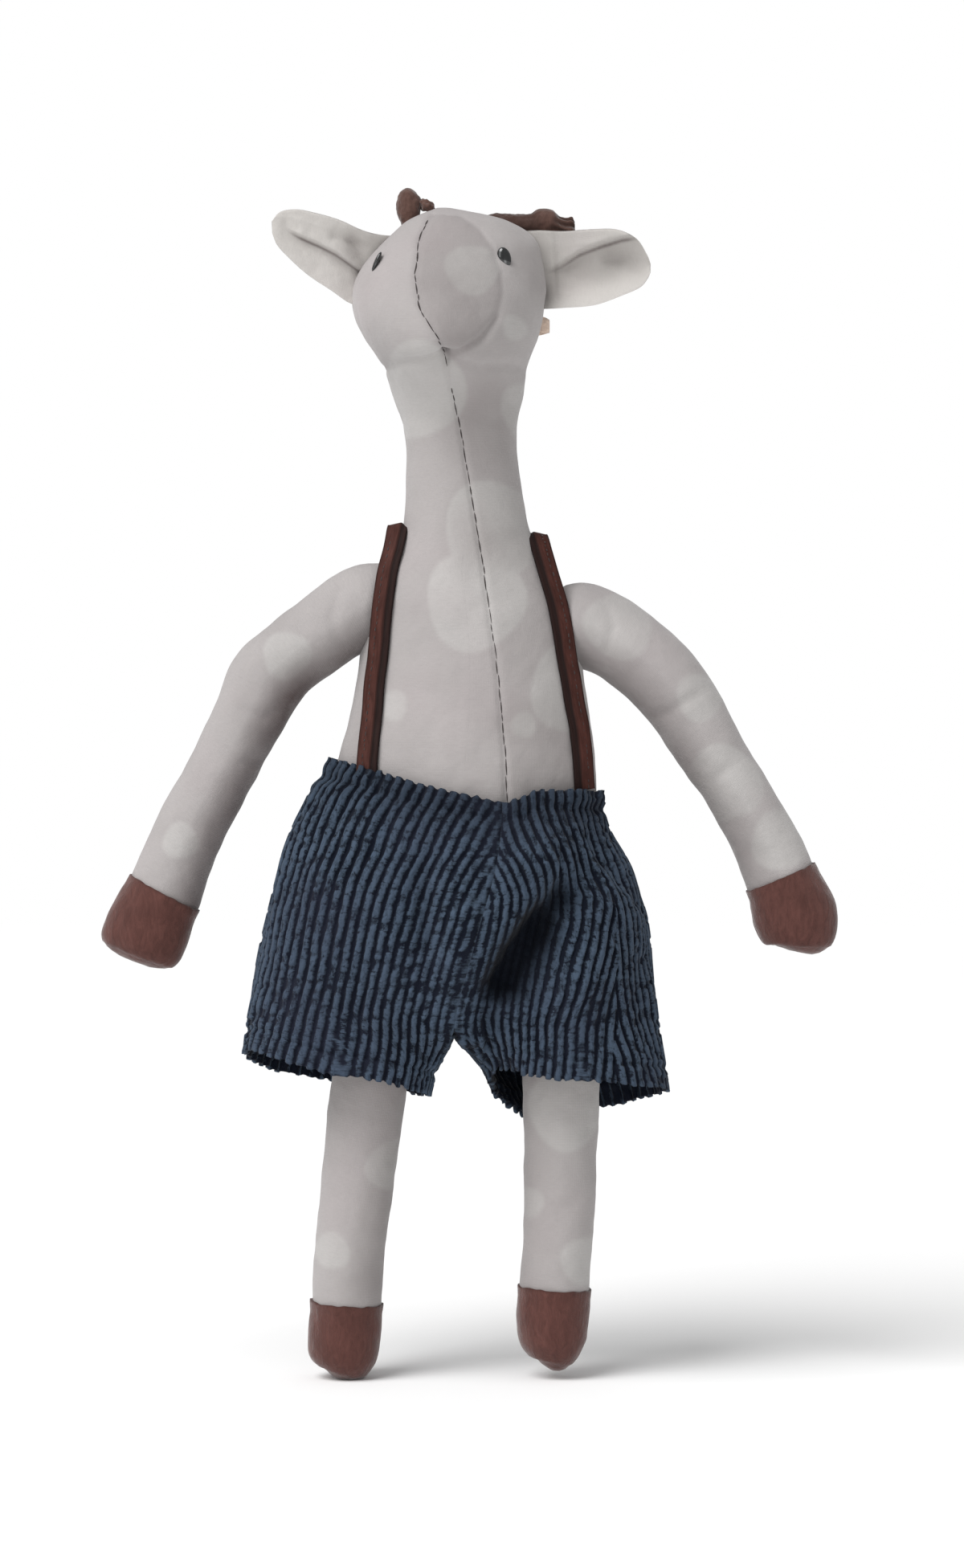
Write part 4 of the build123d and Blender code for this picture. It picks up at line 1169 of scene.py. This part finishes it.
# ---- ears ----------------------------------------------------------------------------------------
# Each ear as rows from its base to its tip: X and Z of its upper edge, X and Z of its lower edge,
# and how far each edge and the middle lie in front of the middle plane.
EARS = {
    "left": [
        (-20.0, 384.6, -24.0, 361.0, -1.0, 2.0, -6.0), (-30.0, 384.6, -33.0, 360.4, 2.0, 3.0, -4.0),
        (-37.0, 386.0, -40.6, 361.2, 4.0, 4.0, -1.0), (-44.5, 389.2, -47.4, 365.6, 5.2, 4.2, 1.0),
        (-52.0, 391.4, -55.4, 371.0, 5.4, 4.0, 1.4), (-59.0, 392.8, -61.6, 376.6, 5.0, 3.6, 2.0),
        (-64.6, 392.0, -65.6, 381.0, 4.2, 3.4, 3.0), (-67.4, 389.0, -67.3, 385.0, 3.6, 3.4, 3.4)],
    "right": [
        (13.0, 386.4, 16.0, 359.6, -2.0, 2.0, -6.0), (22.5, 386.2, 24.0, 359.6, 2.0, 3.2, -4.0),
        (31.0, 385.6, 31.0, 359.8, 4.4, 4.4, -2.0), (40.0, 386.0, 41.0, 360.6, 6.0, 5.0, -0.6),
        (48.5, 385.8, 49.6, 363.6, 6.4, 5.0, 0.2), (55.0, 382.8, 56.2, 366.6, 5.8, 4.4, 1.2),
        (58.6, 377.6, 58.8, 369.6, 4.6, 4.0, 2.4), (59.8, 374.6, 59.8, 371.8, 4.0, 3.8, 3.0)],
}
# Dents in each ear: line of X and Z, depth and half width.
EAR_FOLDS = {
    "left": [([(-40.0, 383.0), (-36.0, 374.0), (-37.0, 366.0)], 2.2, 2.6),
             ([(-46.0, 384.0), (-38.0, 382.0), (-32.0, 379.0)], 1.0, 1.6)],
    "right": [([(24.0, 367.0), (30.0, 370.0), (42.0, 371.0), (54.0, 375.0)], 2.4, 6.0),
              ([(46.0, 377.6), (52.0, 377.0), (56.0, 374.0)], 2.0, 3.0),
              ([(27.4, 385.0), (28.0, 372.0), (28.6, 361.0)], 0.7, 0.7)],
}
# The edge of the fold that lies over each ear's hollow, as X and Z from tip to base, and its height.
EAR_FLAPS = {
    "left": ([(-62.5, 386.4), (-58.0, 384.0), (-52.0, 381.4), (-46.0, 378.4), (-38.0, 373.0),
              (-28.0, 367.0)], 2.0),
    "right": ([(57.0, 383.6), (50.0, 383.0), (44.0, 381.4), (36.0, 378.6), (30.0, 375.0),
               (22.0, 372.0)], 3.0),
}


class GIRAFFE_OT_ears(bpy.types.Operator):
    """Sew the two cupped cotton ears, with a seam round the rim and a fold along the middle"""

    bl_idname = "giraffe.ears"
    bl_label = "Ears"

    def execute(self, context):
        sizes = context.scene.giraffe_sizes
        for side, rows in EARS.items():
            ribs, _ = even_rows([(row[0], row[1], 0.0) + row for row in rows], 0.55)
            ribs = ribs[:, 3:]
            across = np.linspace(0, 1, 60)
            top = np.column_stack([ribs[:, 0], ribs[:, 1]])
            low = np.column_stack([ribs[:, 2], ribs[:, 3]])
            flat = top[:, None] + (low - top)[:, None] * across[None, :, None]
            bow = 4 * across * (1 - across)
            ahead = (ribs[:, 4, None] * (1 - across) + ribs[:, 5, None] * across) * (1 - bow)
            ahead = ahead + ribs[:, 6, None] * bow
            depth = MID_Y - ahead
            dent = np.zeros(depth.shape)
            for line, deep, width in EAR_FOLDS[side]:
                away, share = line_distance(flat, line)
                dent += deep * np.exp(-((away / width) ** 2)) * np.clip(1.3 - share, 0.3, 1)
            sheet = np.stack([flat[..., 0], depth, flat[..., 1]], axis=-1)
            flap, height = EAR_FLAPS[side]
            ends = sorted(flap)
            over = flat[..., 1] - np.interp(flat[..., 0], *zip(*ends))
            run = np.clip((np.abs(flat[..., 0]) - 24) / 12, 0, 1)
            tip_x = ends[-1][0] if side == "right" else -ends[0][0]
            run = run * np.clip(tip_x - np.abs(flat[..., 0]), 0, 5) / 5
            lid = 1 / (1 + np.exp(-np.clip(over / 0.35, -30, 30))) * np.exp(-np.clip(over, 0, 99) / 9.0)
            dent += height * run * (0.45 * np.exp(-((np.minimum(over, 0) / 3.0) ** 2)) * (over < 0.4) - lid)
            lumps = 0.35 * noise_at(sheet, 8.0, 91 + len(side)) + 0.14 * noise_at(sheet, 3.0, 95)
            edge = np.minimum(np.minimum(across, 1 - across)[None] * 22.0,
                              (np.linspace(1, 0, len(ribs)) * 40.0)[:, None])
            swell = np.clip(edge / 4.0, 0, 1) ** 0.5
            thick = sizes.ear_thick / MM
            face = sheet.copy()
            face[..., 1] += dent * swell + lumps - thick * 0.5 * swell
            back = sheet.copy()
            back[..., 1] += dent * 0.6 * swell + lumps + thick * (0.5 + 0.9 * swell) * swell
            # a seam just inside the rim
            rim = np.exp(-(((edge - 2.4) / 0.7) ** 2))
            back[..., 1] -= 0.35 * rim
            ring = np.concatenate([face, back[:, ::-1]], axis=1)
            if side == "left":
                ring = ring[:, ::-1]
            # painted shade in the ear's dents, a painted shadow line along the crease under the flap, and
            # painted shade in the rim's seam on the back
            crease = np.exp(-(((over + 0.5) / 0.5) ** 2)) * run
            shade_face = np.clip(0.10 * dent * swell + 0.7 * crease, 0, 0.75)
            shade = np.concatenate([shade_face, 0.2 * rim[:, ::-1]], axis=1)
            if side == "left":
                shade = shade[:, ::-1]
            ear = tube_object(f"ear_{side}", ring, {"spot": np.zeros(shade.shape), "shade": shade})
            dress(ear, lining_material(context))
            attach(ear, f"{side}_ear")
            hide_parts(f"ear_{side}_front", f"ear_{side}_back")
        return {"FINISHED"}


# ---- eyes, horns, loop -----------------------------------------------------------------------------
def round_object(name, centre, half, tilt=0.0, lumps=0.0, seed=0, count=48):
    """A lumpy round piece: centre, half sizes and a tilt about the front-to-back axis."""
    up = np.linspace(0.02, math.pi - 0.02, count)
    turn = np.linspace(0, 2 * math.pi, count * 2, endpoint=False)
    sphere = np.stack([np.outer(np.sin(up), np.cos(turn)), np.outer(np.sin(up), np.sin(turn)),
                       np.outer(np.cos(up), np.ones_like(turn))], axis=-1)
    grid = sphere * half
    if lumps:
        grid = grid + sphere * (lumps * noise_at(grid, max(half) * 0.45, seed))[..., None]
    turned = grid.copy()
    turned[..., 0] = grid[..., 0] * math.cos(tilt) + grid[..., 2] * math.sin(tilt)
    turned[..., 2] = -grid[..., 0] * math.sin(tilt) + grid[..., 2] * math.cos(tilt)
    return tube_object(name, turned + centre, {"shade": np.zeros(turned.shape[:2])})


EYES = {"left": (-31.8, 373.6, (0.85, 1.6, 3.6), 0.42), "right": (10.5, 374.2, (2.3, 1.4, 3.6), -0.24)}


class GIRAFFE_OT_eyes(bpy.types.Operator):
    """Sew the two shiny black eyes to the head"""

    bl_idname = "giraffe.eyes"
    bl_label = "Eyes"

    def execute(self, context):
        tree = surface_tree(bpy.data.objects["body_skin"])
        for side, (x, z, half, tilt) in EYES.items():
            place, normal = on_surface(tree, max(x, -31.0), z)
            centre = place + normal * 0.1
            centre[0] = x if side == "right" else min(x, centre[0])
            eye = round_object(f"{side}_eye", centre, np.array(half), tilt)
            dress(eye, material_of("black_bead", bead_material))
            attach(eye, "head")
            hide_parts(f"eye_{side}")
        return {"FINISHED"}


# Horns: X, distance behind the middle plane, Z, half width, half depth along each horn.
LEFT_HORN = [
    (-20.2, 4.0, 387.0, 3.0, 3.0), (-20.8, 4.4, 390.0, 3.3, 3.3), (-21.6, 4.6, 393.6, 4.2, 4.0),
    (-21.4, 4.6, 397.2, 4.3, 4.1), (-20.6, 4.6, 399.6, 3.3, 3.2), (-20.0, 4.6, 400.6, 1.4, 1.4),
]
RIGHT_HORN = [
    (4.0, 5.0, 389.4, 3.0, 3.0), (8.5, 5.0, 389.5, 3.4, 3.2), (15.0, 5.0, 389.2, 3.5, 3.3),
    (20.0, 5.0, 389.2, 3.6, 3.4), (24.6, 5.0, 390.0, 4.6, 3.9), (28.4, 5.0, 388.4, 3.5, 3.4),
    (31.4, 5.0, 387.4, 3.6, 3.5), (33.6, 5.0, 387.2, 4.0, 3.6), (34.6, 5.0, 387.2, 2.4, 2.4),
]


class GIRAFFE_OT_horns(bpy.types.Operator):
    """Sew the two brown suede horns, one upright knob and one stalk that lies sideways"""

    bl_idname = "giraffe.horns"
    bl_label = "Horns"

    def execute(self, context):
        colours = context.scene.giraffe_colours
        leather = material_of("brushed_horn_suede", suede, "brushed_horn_suede", tuple(colours.horn))
        for side, rows, crinkle in (("left", LEFT_HORN, 0.35), ("right", RIGHT_HORN, 0.6)):
            grid, along, turn = limb_grid(rows, 0.35, 96)
            middle = grid.mean(axis=1, keepdims=True)
            outward = grid - middle
            outward = outward / np.maximum(np.linalg.norm(outward, axis=-1, keepdims=True), 1e-6)
            share = along / along[-1]
            at_end = np.clip((share - 0.72) / 0.2, 0, 1)
            at_base = 3 * np.clip(0.25 - share, 0, 1)
            gather = at_end if side == "right" else at_base
            pleats = crinkle * gather[:, None] * np.sin(turn[None] * 9 + 4 * share[:, None])
            lumps = 0.35 * noise_at(grid, 3.4, 7) + 0.2 * noise_at(grid, 1.3, 9)
            grid = grid + outward * (pleats + lumps)[..., None]
            bump = np.exp(-(((share - 0.66) / 0.08) ** 2))
            # the right horn's stalk is darker than its knob; painted shade where the suede is gathered,
            # deepest in the hollows of the pleats
            dusky = 0.8 * (1 - bump) if side == "right" else 0.0 * share
            shade = np.clip((dusky + 0.3 * gather)[:, None] - 1.6 * pleats, 0, 0.9) * np.ones(grid.shape[:2])
            horn = tube_object(f"{side}_horn", grid, {"shade": shade})
            dress(horn, leather)
            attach(horn, "head")
            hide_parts(f"horn_{side}")
        nub = round_object("left_horn_gather", np.array([-15.4, MID_Y + 3.6, 395.2]),
                           np.array([3.1, 2.6, 1.9]), 0.5, 0.7, 4)
        dress(nub, leather)
        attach(nub, "head")
        return {"FINISHED"}


class GIRAFFE_OT_loop(bpy.types.Operator):
    """Fold the beige tape of the hanging loop and tuck its ends into the side of the head"""

    bl_idname = "giraffe.loop"
    bl_label = "Hanging Loop"

    def execute(self, context):
        colours = context.scene.giraffe_colours
        tape = material_of("folded_loop_tape", tape_material, colours)
        # the tape's path from the head, round the loop and back, seen from above
        turn = np.linspace(-0.75 * math.pi, 0.75 * math.pi, 40)
        bend = np.column_stack([22.6 + 3.1 * np.cos(turn), MID_Y + 13.0 + 2.8 * np.sin(turn)])
        going_out = [[12.0, MID_Y + 10.6], [17.5, MID_Y + 10.8]]
        coming_back = [[17.5, MID_Y + 15.2], [12.0, MID_Y + 15.4]]
        path = np.vstack([going_out, bend, coming_back])
        run = np.gradient(path, axis=0)
        run /= np.linalg.norm(run, axis=1, keepdims=True)
        outs = np.column_stack([run[:, 1], -run[:, 0]])
        half, thick = 3.3, 0.5
        section = [(-1, -1), (-0.5, -1.1), (0.5, -1.1), (1, -1), (1, 1), (0.5, 1.1), (-0.5, 1.1), (-1, 1)]
        grid = np.zeros((len(path), len(section), 3))
        for k, (up, out) in enumerate(section):
            slump = 0.5 * noise_at(np.column_stack([path, np.full(len(path), up)]), 4.0, 19)
            grid[:, k, :2] = path + outs * thick * out
            narrow = 1 - 0.34 * np.clip((path[:, 0] - 19.0) / 6.5, 0, 1) ** 2
            grid[:, k, 2] = 356.2 + up * half * narrow + slump - 0.10 * (path[:, 0] - 20.0)
        loop = tube_object("tape_loop", grid, {"shade": np.zeros(grid.shape[:2])})
        dress(loop, tape)
        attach(loop, "head")
        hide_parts("hanging_loop")
        return {"FINISHED"}


# ---- straps ----------------------------------------------------------------------------------------
# Guide points for the middle of each strap: X, Y and Z from the front of the waist, over the
# shoulder, to the back of the waist.
STRAPS = {
    "left": [(-35.3, -14.0, 203.0), (-35.5, -14.0, 220.0), (-35.0, -13.0, 238.0), (-32.4, -12.0, 254.0),
             (-29.1, -9.0, 268.0), (-26.8, -5.0, 277.0), (-25.4, 2.0, 283.6), (-23.2, 12.0, 283.0),
             (-20.0, 22.0, 275.0), (-17.6, 28.0, 262.0), (-17.5, 32.0, 244.0), (-18.5, 34.0, 224.0),
             (-19.5, 36.0, 204.0)],
    "right": [(40.2, -10.0, 197.0), (39.6, -11.0, 214.0), (37.6, -12.0, 230.0), (34.8, -12.0, 246.0),
              (31.2, -10.0, 259.0), (27.0, -7.0, 269.0), (22.8, 0.0, 278.6), (20.4, 10.0, 281.0),
              (17.6, 20.0, 273.0), (14.0, 28.0, 261.0), (13.0, 32.0, 244.0), (13.5, 34.0, 224.0),
              (14.0, 36.0, 200.0)],
}


class GIRAFFE_OT_straps(bpy.types.Operator):
    """Lay the two stitched leather straps over the shoulders and down to the waist"""

    bl_idname = "giraffe.straps"
    bl_label = "Straps"

    def execute(self, context):
        sizes = context.scene.giraffe_sizes
        colours = context.scene.giraffe_colours
        tree = surface_tree(bpy.data.objects["body_skin"])
        leather = material_of("stitched_strap_leather", strap_leather, colours)
        thread = material_of("sewing_thread", thread_material, colours)
        half = sizes.strap_width / MM / 2
        thick = sizes.strap_thick / MM
        # the band's section, X across and height over the body: a turned inner edge behind a groove
        across = np.array([-1, -1, -0.96, -0.8, -0.3, 0.2, 0.32, 0.42, 0.8, 0.96, 1, 1, 0.6, -0.6])
        lift = np.array([0.15, 0.75, 0.98, 0.90, 0.95, 0.98, 0.90, 0.58, 0.66, 0.70, 0.5, 0.15, 0.0, 0.0])
        # how dark each point of the section is: the cut edges are dark leather; the stretch by the groove
        # and the turned inner edge is partly dark edge and partly painted shade
        edge = np.array([1, 1, 0.8, 0.1, 0, 0, 0.5, 1.0, 0.85, 0.9, 1, 1, 1, 1.0])
        for side, guides in STRAPS.items():
            rows, _ = even_rows(guides, 0.8)
            places, outs = [], []
            for row in rows:
                place, normal, _, _ = tree.find_nearest(Vector(row) * MM)
                places.append(np.array(place) / MM)
                outs.append(np.array(normal))
            places = ease(np.array(places), 5)
            outs = ease(np.array(outs), 9)
            outs /= np.linalg.norm(outs, axis=1, keepdims=True)
            run = np.gradient(places, axis=0)
            run /= np.linalg.norm(run, axis=1, keepdims=True)
            # the band lies on the chest and turns level where it goes over the shoulder
            over = np.exp(-(((places[:, 1:2] - MID_Y) / 10.0) ** 2))
            level = 0.3 + 0.5 * over
            across_doll = np.array([1.0, 0.0, 0.0]) - run * run[:, :1]
            side_way = np.cross(run, outs)
            side_way *= np.sign(side_way[:, :1])
            side_way = across_doll * level + side_way * (1 - level)
            side_way /= np.linalg.norm(side_way, axis=1, keepdims=True)
            outs = np.cross(side_way, run)
            from_spine = (places - np.array([0.0, MID_Y, 0.0])) * [1, 1, 0]
            outs *= np.sign((from_spine * outs).sum(axis=1, keepdims=True) + 20 * outs[:, 2:])
            places = places + outs * (0.5 + 1.9 * over)
            wave = 0.2 * noise_at(places[:, None], 9.0, 12)
            way = 1 if side == "left" else -1
            grid = (places[:, None] + side_way[:, None] * (way * across[::way] * half)[None, :, None]
                    + outs[:, None] * ((lift[::way] * thick)[None] + 0.35 + wave)[..., None])
            shade = np.repeat(edge[None, ::way], len(grid), axis=0)
            band = tube_object(f"{side}_strap", grid, {"edge": shade})
            dress(band, leather)
            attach(band, "torso")
            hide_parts(f"strap_{side}")
            line = places - side_way * (way * half * 0.35) + outs * (thick * 0.93 + 0.35)
            stitches = thread_pieces(f"{side}_strap_stitches", line, 1.3, 1.0, 0.2, 17)
            dress(stitches, thread)
            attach(stitches, "torso")
        return {"FINISHED"}


def ease(rows, width):
    """Rows of values averaged over their neighbours."""
    padded = np.vstack([rows[:1]] * width + [rows] + [rows[-1:]] * width)
    box = np.ones(2 * width + 1) / (2 * width + 1)
    return np.column_stack([np.convolve(column, box, mode="valid") for column in padded.T])


# ---- stage ------------------------------------------------------------------------------------------
class GIRAFFE_OT_stage(bpy.types.Operator):
    """Set the pale floor, the soft studio lights and the camera in front of the giraffe"""

    bl_idname = "giraffe.stage"
    bl_label = "Stage"

    def execute(self, context):
        scene = context.scene
        lamp = bpy.data.lights.new("overhead_light", "SUN")
        lamp.energy = 2.4
        lamp.angle = math.radians(38)
        overhead = bpy.data.objects.new("overhead_light", lamp)
        overhead.rotation_euler = Vector((0.55, 0.55, -1.0)).to_track_quat("-Z", "Y").to_euler()
        scene.collection.objects.link(overhead)
        add_area("key_light", (-0.9, -0.85, 0.75), (0.0, 0.0, 0.22), 0.6, 2.0)
        add_area("low_light", (0.15, -1.15, 0.04), (0.0, 0.0, 0.33), 0.5, 1.6)
        scene.world = studio_world()
        floor = floor_object()
        lens = bpy.data.cameras.new("camera")
        lens.lens = 85
        lens.sensor_width = 36
        camera = bpy.data.objects.new("camera", lens)
        camera.location = (0.0032, MID_Y * MM - 1.247, 0.200)
        camera.rotation_euler = (math.radians(90), 0.0, 0.0)
        scene.collection.objects.link(camera)
        scene.camera = camera
        scene.view_settings.view_transform = "Standard"
        return {"FINISHED"}


def studio_world():
    """White surroundings that light the doll more softly than they look."""
    world = bpy.data.worlds.new("studio")
    world.use_nodes = True
    tree = world.node_tree
    background = tree.nodes["Background"]
    background.inputs["Color"].default_value = (1.0, 1.0, 1.0, 1.0)
    path = tree.nodes.new("ShaderNodeLightPath")
    strength = tree.nodes.new("ShaderNodeMapRange")
    strength.inputs["To Min"].default_value = 0.45
    strength.inputs["To Max"].default_value = 1.0
    tree.links.new(path.outputs["Is Camera Ray"], strength.inputs["Value"])
    tree.links.new(strength.outputs["Result"], background.inputs["Strength"])
    return world


def add_area(name, place, aim, size, power):
    """A soft square light aimed at a point."""
    lamp = bpy.data.lights.new(name, "AREA")
    lamp.energy = power
    lamp.size = size
    obj = bpy.data.objects.new(name, lamp)
    obj.location = place
    obj.rotation_euler = (Vector(aim) - Vector(place)).to_track_quat("-Z", "Y").to_euler()
    bpy.context.scene.collection.objects.link(obj)
    return obj


def floor_object():
    """A wide pale floor below the feet."""
    mesh = bpy.data.meshes.new("floor")
    mesh.from_pydata([(-4, -4, 0), (4, -4, 0), (4, 4, 0), (-4, 4, 0)], [], [(0, 1, 2, 3)])
    material = bpy.data.materials.new("floor")
    material.use_nodes = True
    shader = material.node_tree.nodes["Principled BSDF"]
    shader.inputs["Base Color"].default_value = (0.99, 0.99, 0.99, 1.0)
    shader.inputs["Roughness"].default_value = 0.9
    mesh.materials.append(material)
    floor = bpy.data.objects.new("floor", mesh)
    bpy.context.scene.collection.objects.link(floor)
    return floor


# ---- add-on -------------------------------------------------------------------------------------------
class GIRAFFE_PT_panel(bpy.types.Panel):
    """The giraffe's pieces, in the order that they are made"""

    bl_idname = "GIRAFFE_PT_panel"
    bl_label = "Stuffed Giraffe"
    bl_space_type = "VIEW_3D"
    bl_region_type = "UI"
    bl_category = "Giraffe"

    def draw(self, context):
        column = self.layout.column()
        for operator in OPERATORS:
            column.operator(operator.bl_idname)
        for group in (context.scene.giraffe_sizes, context.scene.giraffe_colours):
            for name in group.__annotations__:
                self.layout.prop(group, name)


OPERATORS = (GIRAFFE_OT_body, GIRAFFE_OT_arms, GIRAFFE_OT_legs, GIRAFFE_OT_shorts, GIRAFFE_OT_ears,
             GIRAFFE_OT_eyes, GIRAFFE_OT_horns, GIRAFFE_OT_loop, GIRAFFE_OT_straps, GIRAFFE_OT_stage)
CLASSES = (GiraffeSizes, GiraffeColours) + OPERATORS + (GIRAFFE_PT_panel,)


def register():
    """Add the giraffe's classes and properties."""
    for cls in CLASSES:
        bpy.utils.register_class(cls)
    bpy.types.Scene.giraffe_sizes = PointerProperty(type=GiraffeSizes)
    bpy.types.Scene.giraffe_colours = PointerProperty(type=GiraffeColours)


def unregister():
    """Remove the giraffe's classes and properties."""
    del bpy.types.Scene.giraffe_colours
    del bpy.types.Scene.giraffe_sizes
    for cls in reversed(CLASSES):
        bpy.utils.unregister_class(cls)


def main():
    """Make every piece and the stage."""
    register()
    for operator in OPERATORS:
        group, name = operator.bl_idname.split(".")
        getattr(getattr(bpy.ops, group), name)()


if __name__ == "__main__":
    main()
